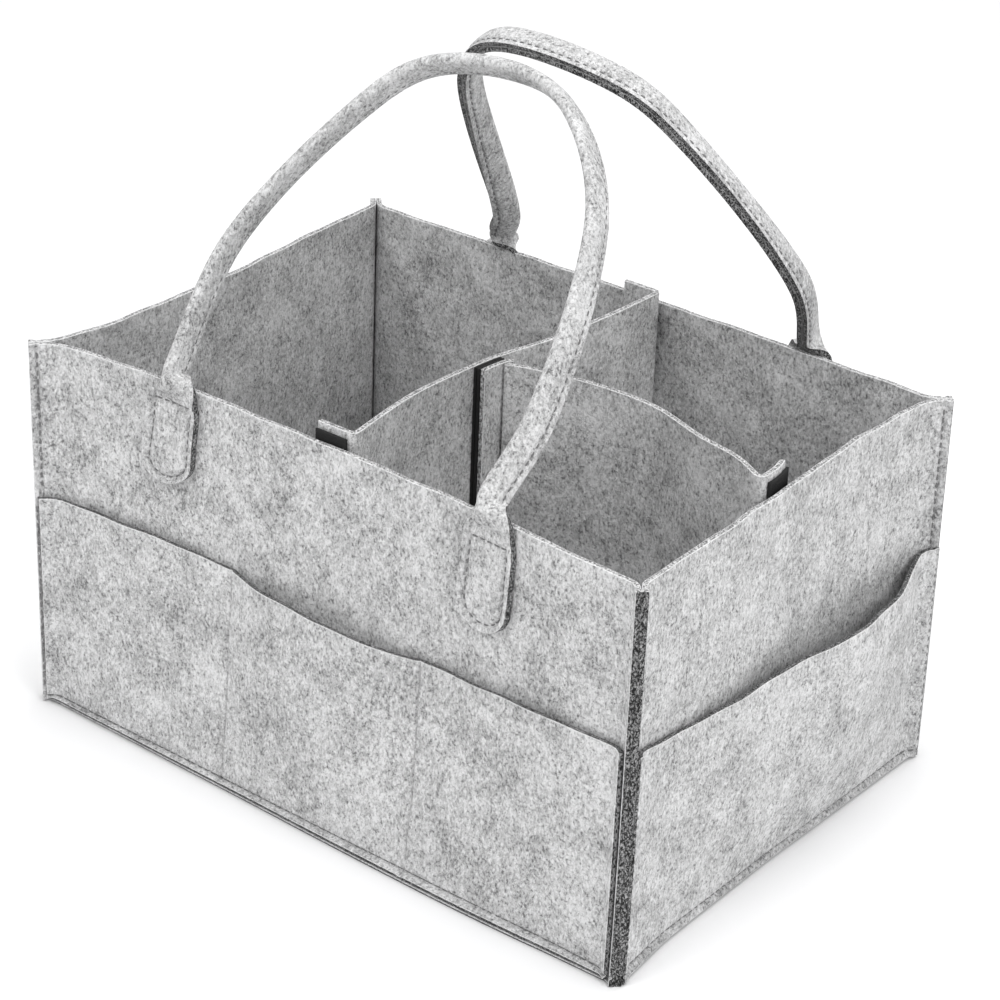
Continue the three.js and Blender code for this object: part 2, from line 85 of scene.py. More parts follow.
# Where the soft box stands away from the drawn one: bottom edges, and corners at bottom and top
BULGE_HEIGHT = 0.030
BULGE_RUN = (0.040, 0.010)
FRONT_BULGE = (0.0002, 0.0004, 0.0007, 0.0011, 0.0016, 0.0020, 0.0022, 0.0016, 0.0008)
RIGHT_BULGE = (-0.0003, -0.0007, -0.0011, -0.0015, -0.0020, -0.0017, -0.0016, -0.0014, -0.0005)
CORNER_REACH = 0.038
CORNER_SHIFTS = (
    ((1, -1), (0.0027, -0.0010), (0.0015, 0.0011)),
    ((-1, -1), (-0.0015, 0.0005), (-0.0012, -0.0009)),
    ((1, 1), (-0.0010, 0.0035), (-0.0010, -0.0007)),
)

# The floor
CURL_RISE = 0.0012
CURL_RUN = 0.0028
CURL_START_SHARES = (1 / 3, 3 / 4)
SLOPE_RUN = 0.038
FLOOR_CORNER = 0.006
SLOPE_STEP_SHARE = 1 / 14
FLAT_STEP = 0.006

# Slight waves of the felt: length along, length up, and phase
RIPPLE_DEPTH = 0.00022
RIPPLE_LENGTHS = ((0.041, 0.067, 0.3), (0.029, -0.045, 1.9), (-0.083, 0.031, 4.1))
RIPPLE_FADE = 0.020

# How far the top of each wall leans in, with shares from one corner to the other
FRONT_LEAN = 0.012
FRONT_LEAN_SHARES = (0.32, 0.6, 0.84, 0.78, 0.8, 0.7, 0.62, 0.3, 0.05)
FRONT_FLARE_SHARES = (1.7, 1.8, 2.1, 2.3, 2.6, 2.8, 2.9, 2.8, 2.1)
RIGHT_LEAN = 0.008
RIGHT_LEAN_SHARES = (0, 0, 0.04, 0.19, 0.4, 0.6, 0.76, 0.7, 0.38)
RIGHT_FLARE_SHARES = (1.1, 0.95, 0.8, 0.75, 0.75, 0.8, 0.85, 0.95, 1.1)
EVEN_SHARES = (1, 1)
LEVEL_TOP = (0, 0)
BACK_LEAN = 0.002
BACK_LEAN_SHARES = (1, 0.9, 0.6, 0.4, 0.4, 0.4, 0.6, 0.8, 1)
LEFT_LEAN = 0.008
LEFT_LEAN_SHARES = (0.1, 0.2, 0.44, 0.72, 0.95, 1, 0.95, 0.78, 0.3)

# Pockets
STRIP_HEIGHT = 0.110
STRIP_SEAM = 0.055
STRIP_TOP_RISE = (0, 0.0006, 0, -0.001, -0.0018, -0.003, -0.0015, 0.0015, 0.0025)
MIDDLE_MOUTH = 0.008
OUTER_MOUTH = 0.0018
SIDE_POCKET_HEIGHT = 0.105
RIGHT_TOP_RISE = (0.0055, 0.0012, 0, 0, 0, 0, 0, 0.0005, 0.008)
SIDE_MOUTH = 0.014
RIGHT_MOUTH_SHARES = (0, 0.02, 0.18, 0.37, 0.56, 0.95, 1, 0.64, 0)
LEFT_MOUTH_SHARES = (0, 0.5, 0.85, 1, 0.75, 0.45, 0.25, 0.05, 0)

# Handles
STRAP_WIDTH = 0.025
NECK_WIDTH = 0.0235
TAB_WIDTH = 0.0280
TAB_SWELL = 0.0010
PAD_SHARE = 0.35
HANDLE_SPACING = 0.1788
SWING_Z = 0.1885
FOLD_RADIUS = 0.0014
FOLD_BULGE = 0.0006
FOLD_END = 0.007
FOLD_RUN = 0.013
TAB_TOP = 0.1835
BRIDGE_REACH = 0.005
BLEND_REACH = 0.014
NECK_REACH = 0.006
WIDEN_REACH = 0.004
TWIST_RUN_SHARE = 1.3
LEAVE_TAB = (-0.001, 0.004)
PAST_WALL = (-0.0015, 0.004)
TAB_GROOVE_END = 0.0015
TAB_RIM = (0.0016, 0.0003)
PAD_GAP = (0.0005, 0.003)
SWELL_END = (0.002, 0.008)
CENTRE_SMOOTHING = 7
FOOT_STEP = 0.0009
ARCH_STEP = 0.0022
FINE_FOOT_SHARE = 1.4

# Dividers
DIVIDER_HEIGHT = 0.187
DIVIDER_BOTTOM = 0.00725
DIVIDER_FOLD = 0.0022
FLAP_LENGTH = 0.017
FLAP_CURL = math.radians(22)
STRIP_CURL = math.radians(44)
LONG_SWAY = 0.013
LONG_SHARES = (
    (0.5, -1), (0, -0.54), (0.08, -0.1), (0.27, 0.08), (0.65, 0.31), (0.93, 0.7), (1, 1),
)
SHORT_SWAY = 0.011
SHORT_START = -0.0025
SHORT_SHARES = ((0, 0), (0.105, 0.5), (0.31, 1), (0.52, 0.97), (0.73, 0.07), (0.89, -0.42), (1, -1.15))
T_STRIP_FRONT = -0.014
T_STRIP_BACK = 0.0
T_STRIP_CURL_RUN = 0.0047
T_STRIP_STITCH = 0.0055
TAPE_BACK = 0.002
TAPE_OVERHANG = 0.0006
TAPE_END_MARGIN = 0.003
TAPE_STEP = 0.0008
PILE_DEPTH = 0.00032
PLAN_POINTS = 97
TURN_STEPS = 10

# Sewing: thread, stitches and the groove that they press into the felt
STITCH_PITCH = 0.0042
STITCH_LENGTH = 0.0027
THREAD_RADIUS = 0.00036
GROOVE_DEPTH = 0.0008
GROOVE_WIDTH = 0.00065
TAB_STITCH = 0.0032
STRAP_STITCH = 0.0026
CORNER_STITCH = 0.0004
FLANGE_SWELL = 0.00013
FLANGE_SWELL_RUN = (0.0008, 0.0016)
FLANGE_SQUEEZE = 0.0011
FLANGE_SQUEEZE_RUN = 0.0014
STRIP_SHORT = 0.0014
SEAM_GROOVE = 0.0012
POCKET_SEAM_GROOVE = GROOVE_DEPTH * 0.9
CROSS_GROOVE = GROOVE_DEPTH * 1.2
LONGEST_STITCH_SHARE = 0.8
SUNK_SHARE = 0.8
STRAP_SEAM_START_SHARE = 0.9

# One stitch by shares of its length: its height over the felt and its radius, in thread radii
STITCH_SHARES = np.array([0, 0.1, 0.3, 0.5, 0.7, 0.9, 1])
STITCH_HEIGHTS = np.array([-1.6, -0.3, 0.4, 0.6, 0.4, -0.3, -1.6])
STITCH_RADII = np.array([0.6, 0.9, 1, 1.04, 1, 0.9, 0.6])
THREAD_CORNERS = 6

# Steps of the surfaces, and the rounding of a cut edge
COARSE_STEP = 0.0030
FINE_STEP = 0.0005
CUT_RADIUS = 0.0004
TOP_RADIUS = 0.0008
EDGE_ROOM_SHARE = 0.45
RIM_ANGLES = (30, 60, 90)
DIVIDER_STEP = COARSE_STEP * 0.6
SPLINE_STEPS = 60
CHORD_STEPS = 40
PROBE_STEP = 0.0003
WALL_PROBES = 9
TINY = 1e-12

# Points along the curves that carry stitches, and along the parts of a strap and the T-strip
CORNER_POINTS = 160
BOTTOM_POINTS = 400
UPRIGHT_POINTS = 120
T_STITCH_POINTS = 200
STRAP_POINTS = 900
TAB_ARC_POINTS = 80
TAB_SIDE_POINTS = 60
BRIDGE_POINTS = 40
T_STRIP_POINTS = 25

# A strap's grid of points: columns across it, rows in the round end of a tab, and its reach
STRAP_COLUMNS = 65
ROUND_ROWS = 24
ROUND_REACH_SHARE = 1.25


def add_camera():
    camera = bpy.data.objects.new("camera", bpy.data.cameras.new("camera"))
    camera.data.lens = CAMERA_LENS
    camera.data.sensor_width = CAMERA_SENSOR
    camera.data.clip_end = CAMERA_REACH
    go_round = Matrix.Rotation(CAMERA_AZIMUTH, 4, "Z")
    tip_down = Matrix.Rotation(math.pi / 2 - CAMERA_ELEVATION, 4, "X")
    roll = Matrix.Rotation(CAMERA_ROLL, 4, "Z")
    camera.matrix_world = Matrix.Translation(CAMERA_PLACE) @ go_round @ tip_down @ roll
    bpy.context.scene.collection.objects.link(camera)
    bpy.context.scene.camera = camera


# Curves and small functions on arrays

def hermite(first, lead, second, trail, t):
    """The cubic from first to second with the given slopes at its ends."""
    cubic = (2 * first - 2 * second + lead + trail) * t ** 3
    return cubic + (3 * second - 3 * first - 2 * lead - trail) * t ** 2 + lead * t + first


def spline_at(values, step):
    """A uniform spline through values, read at steps counted from the first one."""
    spans = len(values) - 1
    start = np.minimum(step.astype(int), spans - 1)
    before, first, second, after = (values[np.clip(start + k, 0, spans)] for k in (-1, 0, 1, 2))
    t = (step - start).reshape(step.shape + (1,) * (values.ndim - 1))
    return hermite(first, (second - before) / 2, second, (after - first) / 2, t)


def read_shares(shares, place):
    """A smooth curve through shares at even steps, read at places from -1 to 1."""
    values = np.asarray(shares, float)
    return spline_at(values, (np.clip(place, -1, 1) + 1) / 2 * (len(values) - 1))


def smooth_step(value, low, high):
    t = np.clip((value - low) / (high - low), 0, 1)
    return t * t * (3 - 2 * t)


def unit(vectors):
    return vectors / np.maximum(np.linalg.norm(vectors, axis=-1, keepdims=True), TINY)


def run_lengths(line):
    return np.concatenate([[0], np.cumsum(np.linalg.norm(np.diff(line, axis=0), axis=1))])


def read_line(values, known, wanted):
    """Values that are known at places along a line, read at the wanted places."""
    if values.ndim == 1:
        return np.interp(wanted, known, values)
    return np.stack([np.interp(wanted, known, column) for column in values.T], -1)


def resample(line, count):
    lengths = run_lengths(line)
    return read_line(line, lengths, np.linspace(0, lengths[-1], count))


def even_spline(places, count):
    """A uniform spline through places, as evenly spaced points."""
    places = np.asarray(places, float)
    spans = len(places) - 1
    return resample(spline_at(places, np.linspace(0, spans, spans * SPLINE_STEPS + 1)), count)


def chord_spline(places):
    """A spline through places whose speed follows the root of each chord."""
    ends = [2 * places[0] - places[1], *places, 2 * places[-1] - places[-2]]
    t = np.arange(CHORD_STEPS)[:, None] / CHORD_STEPS
    points = []
    for before, first, second, after in zip(ends, ends[1:], ends[2:], ends[3:]):
        d0, d1, d2 = (
            math.sqrt(np.linalg.norm(b - a))
            for a, b in ((before, first), (first, second), (second, after))
        )
        lead = (first - before) / d0 - (second - before) / (d0 + d1) + (second - first) / d1
        trail = (second - first) / d1 - (after - first) / (d1 + d2) + (after - second) / d2
        points.append(hermite(first, lead * d1, second, trail * d1, t))
    return np.concatenate([*points, places[-1:]])


def steps_between(keys, widest):
    """Places from key to key, with steps no wider than the widest."""
    places = [keys[0]]
    for low, high in zip(keys, keys[1:]):
        count = max(math.ceil((high - low) / widest), 1)
        places.extend(low + (high - low) * (k + 1) / count for k in range(count))
    return np.array(places)


def groove(distance, depth=GROOVE_DEPTH):
    return depth * np.exp(-((distance / GROOVE_WIDTH) ** 2))


# The four sides of the box, each drawn facing -Y and turned into its place

def strip_mouth(a):
    reach = np.abs(a)
    middle = MIDDLE_MOUTH * (1 - (reach / STRIP_SEAM) ** 2)
    outer_half = (HALF_LENGTH - STRIP_SEAM) / 2
    outer = OUTER_MOUTH * np.maximum(1 - ((reach - STRIP_SEAM - outer_half) / outer_half) ** 2, 0)
    return np.where(reach < STRIP_SEAM, middle, outer)


def wide_mouth(shares):
    return lambda a: SIDE_MOUTH * np.maximum(read_shares(shares, a / HALF_DEPTH), 0)


def rise_to(z, top):
    place = np.clip((z - SEAM_HEIGHT) / (top - SEAM_HEIGHT), 0, 1)
    return 1 - (1 - place) ** 2


def into_seam(z):
    return np.maximum((SEAM_HEIGHT - z) / SEAM_HEIGHT, 0)


def seam_flare(z, share):
    return SEAM_FLARE * share * into_seam(z) ** FLARE_POWER


def seam_spread(z, share):
    """How much wider apart the layers lie, measured level, where the seam slopes out."""
    slope = SEAM_FLARE * share * FLARE_POWER / SEAM_HEIGHT * into_seam(z) ** (FLARE_POWER - 1)
    return np.hypot(1, slope)


def settled(points):
    """Moves points of the drawn box to where its soft bottom edges and corners stand."""
    moved = np.array(points, float)
    x, y, z = np.moveaxis(np.asarray(points, float), -1, 0)
    low = np.exp(-np.maximum(z, 0) / BULGE_HEIGHT)
    far, near = BULGE_RUN
    front = smooth_step(-y, HALF_DEPTH - far, HALF_DEPTH - near) * low
    right = smooth_step(x, HALF_LENGTH - far, HALF_LENGTH - near) * low
    moved[..., 1] -= front * read_shares(FRONT_BULGE, x / HALF_LENGTH)
    moved[..., 0] += right * read_shares(RIGHT_BULGE, y / HALF_DEPTH)
    height = np.clip(z / WALL_HEIGHT, 0, 1)
    for (sign_x, sign_y), bottom, top in CORNER_SHIFTS:
        away = np.hypot(x - sign_x * HALF_LENGTH, y - sign_y * HALF_DEPTH)
        weight = 1 - smooth_step(away, 0, CORNER_REACH)
        for axis in (0, 1):
            moved[..., axis] += weight * (bottom[axis] * (1 - height) + top[axis] * height)
    return moved


@dataclass
class Side:
    """A side of the box: its place, its outline and the mouth of its pocket."""

    name: str
    quarter: int
    half: float
    out: float
    lean: float
    lean_shares: tuple
    flare_shares: tuple
    pocket_top: float
    top_rise: tuple
    mouth: object

    def flare_share(self, a):
        return read_shares(self.flare_shares, a / self.half)

    def raised(self, a, z):
        """Heights on a pocket, whose mouth rises and sags along the wall."""
        share = smooth_step(z, self.pocket_top / 2, self.pocket_top)
        return z + share * read_shares(self.top_rise, a / self.half)

    def wall_inset(self, a, z):
        top = self.lean * read_shares(self.lean_shares, a / self.half)
        return SEAT_INSET + (top - SEAT_INSET) * rise_to(z, WALL_HEIGHT)

    def ripple(self, a, z):
        """The slight waves of hand-sewn felt, which fade towards the seams."""
        fade = smooth_step(self.half - np.abs(a), 0, RIPPLE_FADE)
        fade = fade * smooth_step(z, SEAM_HEIGHT, RIPPLE_FADE)
        waves = sum(
            np.sin(2 * math.pi * (a / across + z / up) + phase + self.quarter)
            for across, up, phase in RIPPLE_LENGTHS
        )
        return RIPPLE_DEPTH * fade * waves

    def inset(self, layer, a, z):
        wall = self.wall_inset(a, z)
        flare = self.flare_share(a)
        mouth = layer * self.mouth(a) * rise_to(z, self.pocket_top)
        seam = seam_flare(z, flare) + layer * PITCH * seam_spread(z, flare)
        along = wall - seam - mouth + self.ripple(a, z)
        diagonal = self.half - np.abs(a) - math.sqrt(2) * (layer + 1 / 2) * PITCH
        softness = np.maximum(CORNER_SOFTNESS_LEAST, wall + CORNER_SOFTNESS)
        nearness = np.maximum(softness - np.abs(diagonal - along), 0) / softness
        return np.minimum(diagonal, along) - nearness ** 2 * softness / 4

    def point(self, layer, a, z, lift=0.0):
        """Middle of a layer in the side's own axes, with the box's centre as origin."""
        a, z = np.broadcast_arrays(np.asarray(a, float), np.asarray(z, float))
        return np.stack([a, self.inset(layer, a, z) - self.out - lift, z], -1)

    def to_box(self, points):
        """From the side's own axes to the box's."""
        turned = np.array(points, float)
        for _ in range(self.quarter):
            turned = np.stack([-turned[..., 1], turned[..., 0], turned[..., 2]], -1)
        return settled(turned)

    def end(self, layer):
        short = STRIP_SHORT if layer and self.half > self.out else 0
        return self.half + (CORNER_SEAM - (layer + 1 / 2) * PITCH) / math.sqrt(2) - short


FRONT = Side(
    "front", 0, HALF_LENGTH, HALF_DEPTH, FRONT_LEAN, FRONT_LEAN_SHARES, FRONT_FLARE_SHARES,
    STRIP_HEIGHT, STRIP_TOP_RISE, strip_mouth,
)
RIGHT = Side(
    "right", 1, HALF_DEPTH, HALF_LENGTH, RIGHT_LEAN, RIGHT_LEAN_SHARES, RIGHT_FLARE_SHARES,
    SIDE_POCKET_HEIGHT, RIGHT_TOP_RISE, wide_mouth(RIGHT_MOUTH_SHARES),
)
BACK = Side(
    "back", 2, HALF_LENGTH, HALF_DEPTH, BACK_LEAN, BACK_LEAN_SHARES, EVEN_SHARES,
    STRIP_HEIGHT, LEVEL_TOP, strip_mouth,
)
LEFT = Side(
    "left", 3, HALF_DEPTH, HALF_LENGTH, LEFT_LEAN, LEFT_LEAN_SHARES, EVEN_SHARES,
    SIDE_POCKET_HEIGHT, LEVEL_TOP, wide_mouth(LEFT_MOUTH_SHARES),
)
SIDES = (FRONT, RIGHT, BACK, LEFT)


# Closed sheets round a grid of middle points, whose rows go up and whose columns go along

def grid_normals(middle, round_it=False):
    """Normals on the front face, which is on the side of along x up."""
    if round_it:
        along = np.roll(middle, -1, axis=1) - np.roll(middle, 1, axis=1)
    else:
        along = np.gradient(middle, axis=1)
    return unit(np.cross(along, np.gradient(middle, axis=0)))


def edge_loop(rows, columns, round_it):
    """Grid places round the edge, seen from the front against the clock, and each one's side."""
    if round_it:
        return [(0, c) for c in range(columns)], ["bottom"] * columns
    runs = {
        "bottom": [(0, c) for c in range(columns - 1)],
        "right": [(r, columns - 1) for r in range(rows - 1)],
        "top": [(rows - 1, c) for c in range(columns - 1, 0, -1)],
        "left": [(r, 0) for r in range(rows - 1, 0, -1)],
    }
    return sum(runs.values(), []), [name for name, places in runs.items() for _ in places]


def sheet_mesh(
    middle, thickness, front_dent=0.0, back_dent=0.0, top_radius=CUT_RADIUS, round_it=False,
):
    """Points, faces and each face's side and ring, of a closed sheet with rounded cut edges."""
    rows, columns = middle.shape[:2]
    normal = grid_normals(middle, round_it)
    loop, names = edge_loop(rows, columns, round_it)
    at = tuple(np.array(loop).T)
    around = middle[at]
    tangent = np.roll(around, -1, axis=0) - np.roll(around, 1, axis=0)
    outward = unit(np.cross(tangent, normal[at]))
    inner_row = np.clip(at[0], 1, rows - 2)
    inner_column = at[1] if round_it else np.clip(at[1], 1, columns - 2)
    room = np.linalg.norm(middle[inner_row, inner_column] - around, axis=1)[:, None]
    side_radius = min(CUT_RADIUS, thickness / 4)
    radius = np.array([top_radius if name == "top" else side_radius for name in names])[:, None]
    pull = np.minimum(radius, room * EDGE_ROOM_SHARE)
    skins, rims = [], []
    for face, dent in ((1, front_dent), (-1, back_dent)):
        half = np.broadcast_to(thickness / 2 - dent, (rows, columns))[..., None]
        skin = middle + normal * half * face
        skin[at] -= outward * pull
        skins.append(skin.reshape(-1, 3))
        for angle in RIM_ANGLES[::face]:
            turn = math.radians(angle)
            out = pull * (math.sin(turn) - 1)
            high = half[at] - radius * (1 - math.cos(turn))
            rims.append(around + outward * out + normal[at] * high * face)
    points = np.concatenate([*skins, *rims])
    count = rows * columns
    index = np.arange(count).reshape(rows, columns)
    if round_it:
        index = np.concatenate([index, index[:, :1]], axis=1)
    corners = [index[:-1, :-1], index[:-1, 1:], index[1:, 1:], index[1:, :-1]]
    cells = np.stack(corners, -1).reshape(-1, 4)
    faces = cells.tolist() + (cells[:, ::-1] + count).tolist()
    sides = [("face", 0)] * len(faces)
    edge = np.array([r * columns + c for r, c in loop])
    rim_rings = [2 * count + k * len(loop) + np.arange(len(loop)) for k in range(len(rims))]
    rings = [edge, *rim_rings, edge + count]
    for step, (ring, next_ring) in enumerate(zip(rings, rings[1:])):
        a, b = np.roll(ring, -1), np.roll(next_ring, -1)
        faces.extend(np.stack([ring, next_ring, b, a], -1).tolist())
        sides.extend((name, step) for name in names)
    if round_it:
        faces.append(index[-1, :-1].tolist())
        faces.append((index[-1, :-1][::-1] + count).tolist())
        sides.extend([("face", 0)] * 2)
    return points, faces, sides


def add_piece(name, points, faces, materials, slots=None):
    """Adds a mesh object, and keeps each point's rest place for the materials to read."""
    mesh = bpy.data.meshes.new(name)
    mesh.from_pydata(points.tolist(), [], faces)
    for material in materials:
        mesh.materials.append(material)
    if slots is not None:
        mesh.polygons.foreach_set("material_index", slots)
    mesh.polygons.foreach_set("use_smooth", [True] * len(faces))
    place = mesh.attributes.new("rest_place", "FLOAT_VECTOR", "POINT")
    place.data.foreach_set("vector", np.asarray(points, np.float32).ravel())
    mesh.validate()
    piece = bpy.data.objects.new(name, mesh)
    bpy.context.scene.collection.objects.link(piece)
    return piece


# Slots of the felt looks on the seven faces round a cut edge, from the front face to the back
# The third slot is a lighter felt on the rounded rings beside the faces: a painted highlight where the
# cut edges catch the light
FACE, CUT, PAINTED_HIGHLIGHT, SPECKLED = range(4)
SHEET_SIDES = ("bottom", "right", "top", "left")
EDGES = {
    "rim": (PAINTED_HIGHLIGHT, PAINTED_HIGHLIGHT, SPECKLED, SPECKLED, SPECKLED, PAINTED_HIGHLIGHT, PAINTED_HIGHLIGHT),
    "seam": (PAINTED_HIGHLIGHT, PAINTED_HIGHLIGHT, CUT, CUT, CUT, CUT, CUT),
    "dark": (CUT,) * 7,
    "strap": (PAINTED_HIGHLIGHT, CUT, CUT, CUT, CUT, CUT, PAINTED_HIGHLIGHT),
}


def add_sheet(name, middle, looks, edges, thickness=FELT, **more):
    """A felt or tape sheet. The kinds of its cut edges are given side by side."""
    points, faces, sides = sheet_mesh(middle, thickness, **more)
    points[:, 2] = np.maximum(points[:, 2], 0)
    slots = [EDGES[edges[side]][ring] if side in edges else FACE for side, ring in sides]
    return add_piece(name, points, faces, looks, slots)


# Stitches

def stitches(line, normals, sink=GROOVE_DEPTH):
    """Thread along a line: each stitch rises from one needle hole and dives into the next."""
    lengths = run_lengths(line)
    count = max(int(round(lengths[-1] / STITCH_PITCH)), 1)
    pitch = lengths[-1] / count
    gap = (pitch - min(STITCH_LENGTH, pitch * LONGEST_STITCH_SHARE)) / 2
    heights = THREAD_RADIUS * STITCH_HEIGHTS - sink * SUNK_SHARE
    radii = THREAD_RADIUS * STITCH_RADII
    starts = np.arange(count)[:, None] * pitch + gap
    wanted = starts + STITCH_SHARES * (pitch - 2 * gap)
    centre = read_line(line, lengths, wanted)
    normal = unit(read_line(normals, lengths, wanted))
    along = unit(centre[:, -1:] - centre[:, :1])
    side = np.cross(np.repeat(along, len(radii), axis=1), normal)
    centre = centre + normal * heights[:, None]
    rings = []
    for k in range(THREAD_CORNERS):
        angle = 2 * math.pi * k / THREAD_CORNERS
        rings.append(centre + (side * math.cos(angle) + normal * math.sin(angle)) * radii[:, None])
    points = np.stack(rings, 2).reshape(-1, 3)
    index = np.arange(len(points)).reshape(count, len(radii), THREAD_CORNERS)
    nearer, further = index[:, :-1], index[:, 1:]
    walls = np.stack(
        [nearer, np.roll(nearer, -1, axis=2), np.roll(further, -1, axis=2), further], -1,
    ).reshape(-1, 4)
    caps = index[:, 0, ::-1].tolist() + index[:, -1].tolist()
    return points, walls.tolist() + caps


def add_stitching(name, runs, looks):
    points, faces, start = [], [], 0
    for run_points, run_faces in runs:
        points.append(run_points)
        faces.extend([[start + k for k in face] for face in run_faces])
        start += len(run_points)
    return add_piece(name, np.concatenate(points), faces, looks)


def surface_line(place, first, second, face):
    """Points and normals on one face of a felt sheet, along paired surface coordinates."""
    along = place(first + PROBE_STEP, second) - place(first - PROBE_STEP, second)
    up = place(first, second + PROBE_STEP) - place(first, second - PROBE_STEP)
    normal = unit(np.cross(along, up)) * face
    return place(first, second) + normal * FELT / 2, normal


# Materials

# How much darker the felt is painted below the bottom seam: painted shade of the seam's band, which
# faces down and out, together with the darker fibres of the felt pressed there
SEAM_BAND_SHADE_SHARE = 0.16
SEAM_BAND_SHADE_FADE = 0.0008

# Sizes of the felt's patterns, as noise scales
CLOUD_SCALE = 48.0
PATCH_SCALE = 260.0
GRAIN_SCALE = 750.0
SPOT_SCALE = 700.0
HAIR_SCALE = 460.0
PALE_HAIR_SCALE = 520.0


class Nodes:
    """Adds shader nodes to a material or world, and links them by socket name."""

    def __init__(self, owner):
        owner.use_nodes = True
        self.owner = owner
        self.tree = owner.node_tree
        self.tree.nodes.clear()

    def add(self, kind, settings=None, **inputs):
        node = self.tree.nodes.new(kind)
        for key, value in (settings or {}).items():
            setattr(node, key, value)
        for key, value in inputs.items():
            self.put(node, key.replace("_", " "), value)
        return node

    def put(self, node, socket, value):
        if isinstance(value, bpy.types.NodeSocket):
            self.tree.links.new(value, node.inputs[socket])
        else:
            node.inputs[socket].default_value = value

    def math(self, operation, first, second=0.0, third=0.0):
        node = self.tree.nodes.new("ShaderNodeMath")
        node.operation = operation
        for place, value in enumerate((first, second, third)):
            self.put(node, place, value)
        return node.outputs[0]

    def noise(self, place, scale, detail=2.0, roughness=0.5, distortion=0.0):
        return self.add(
            "ShaderNodeTexNoise", Vector=place, Scale=scale, Detail=detail,
            Roughness=roughness, Distortion=distortion,
        ).outputs["Fac"]

    def step(self, value, low, high):
        """Rises smoothly from 0 to 1 between two values."""
        node = self.add("ShaderNodeMapRange", {"interpolation_type": "SMOOTHSTEP"}, Value=value)
        self.put(node, "From Min", low)
        self.put(node, "From Max", high)
        return node.outputs[0]

    def mix(self, share, first, second):
        node = self.add("ShaderNodeMix", {"data_type": "RGBA"})
        self.put(node, 0, share)
        self.put(node, 6, first)
        self.put(node, 7, second)
        return node.outputs[2]

    def rest_place(self):
        return self.add("ShaderNodeAttribute", {"attribute_name": "rest_place"}).outputs["Vector"]

    def finish(self, colour, bump_height, bump_distance, roughness, sheen=0.0):
        bump = self.add("ShaderNodeBump", Height=bump_height, Distance=bump_distance, Strength=1.0)
        shader = self.add(
            "ShaderNodeBsdfPrincipled", Base_Color=colour, Roughness=roughness,
            Specular_IOR_Level=0.2, Sheen_Weight=sheen, Sheen_Roughness=0.5, Normal=bump.outputs[0],
        )
        self.add("ShaderNodeOutputMaterial", Surface=shader.outputs[0])
        return self.owner


def grey(level):
    return (level, level, level * 1.005, 1.0)


def shifted(nodes, place, offset):
    node = nodes.add("ShaderNodeVectorMath", {"operation": "ADD"})
    nodes.put(node, 0, place)
    nodes.put(node, 1, offset)
    return node.outputs[0]


def combed(nodes, place):
    """Turns and stretches a pattern, so that its patches run aslant."""
    node = nodes.add("ShaderNodeMapping", Vector=place)
    nodes.put(node, "Rotation", (0.55, 0.75, 0.35))
    nodes.put(node, "Scale", (1.0, 1.0, 0.62))
    return node.outputs["Vector"]


def fibres(nodes, place, scale, width, density):
    """Short curly strokes: where a noise crosses its middle, broken up by a second noise."""
    crossing = nodes.math("ABSOLUTE", nodes.math("SUBTRACT", nodes.noise(place, scale, 1.0), 0.5))
    stroke = nodes.math("SUBTRACT", 1.0, nodes.step(crossing, width * 0.3, width))
    there = nodes.step(nodes.noise(place, scale * 0.55, 0.0), density, density + 0.08)
    return nodes.math("MULTIPLY", stroke, there)


def sum_of(nodes, base, *parts):
    """The base plus each noise's distance from its middle times a weight."""
    total = base
    for value, weight in parts:
        total = nodes.math("MULTIPLY_ADD", nodes.math("SUBTRACT", value, 0.5), weight, total)
    return total


def felt_material(name, dark, light, level, cloud, mottle, grain, fleck, size=1.0):
    """Heather felt: pale and dark fibres matted to a cloudy, salt and pepper grain."""
    nodes = Nodes(bpy.data.materials.new(name))
    place = nodes.rest_place()
    slant = combed(nodes, place)
    clouds = nodes.noise(place, CLOUD_SCALE, 2.0, 0.6)
    patches = nodes.noise(slant, PATCH_SCALE, 2.0, 0.6, 0.3)
    grains = nodes.noise(shifted(nodes, slant, (0.3, 0.1, 0.2)), GRAIN_SCALE / size, 2.0, 0.75)
    spots = nodes.noise(shifted(nodes, place, (0.6, 0.2, 0.8)), SPOT_SCALE / size, 2.0, 0.6)
    flecks = nodes.step(spots, 0.54, 0.68)
    hairs = fibres(nodes, shifted(nodes, place, (0.7, 0.4, 0.9)), HAIR_SCALE, 0.05, 0.52)
    pale_hairs = fibres(nodes, shifted(nodes, place, (0.2, 0.8, 0.5)), PALE_HAIR_SCALE, 0.05, 0.48)
    tone = sum_of(nodes, level, (clouds, cloud), (patches, mottle), (grains, grain))
    tone = nodes.math("MULTIPLY_ADD", flecks, -fleck, tone)
    tone = nodes.math("MULTIPLY_ADD", hairs, -fleck * 0.6, tone)
    tone = nodes.math("MULTIPLY_ADD", pale_hairs, fleck * 0.4, tone)
    height_up = nodes.add("ShaderNodeSeparateXYZ", Vector=place).outputs["Z"]
    # Painted shade below the bottom seam, with the darker fibres of the pressed felt: the felt is
    # darkened under the seam's height
    above_seam = nodes.step(height_up, SEAM_HEIGHT - SEAM_BAND_SHADE_FADE, SEAM_HEIGHT)
    tone = nodes.math("SUBTRACT", tone, SEAM_BAND_SHADE_SHARE)
    tone = nodes.math("MULTIPLY_ADD", above_seam, SEAM_BAND_SHADE_SHARE, tone)
    share = nodes.add("ShaderNodeClamp", Value=tone).outputs[0]
    colour = nodes.mix(share, grey(dark), grey(light))
    height = sum_of(nodes, 0.0, (grains, 0.9), (patches, 0.8))
    height = nodes.math("MULTIPLY_ADD", pale_hairs, 0.3, height)
    return nodes.finish(colour, height, bump_distance=0.0006, roughness=1.0, sheen=0.12)


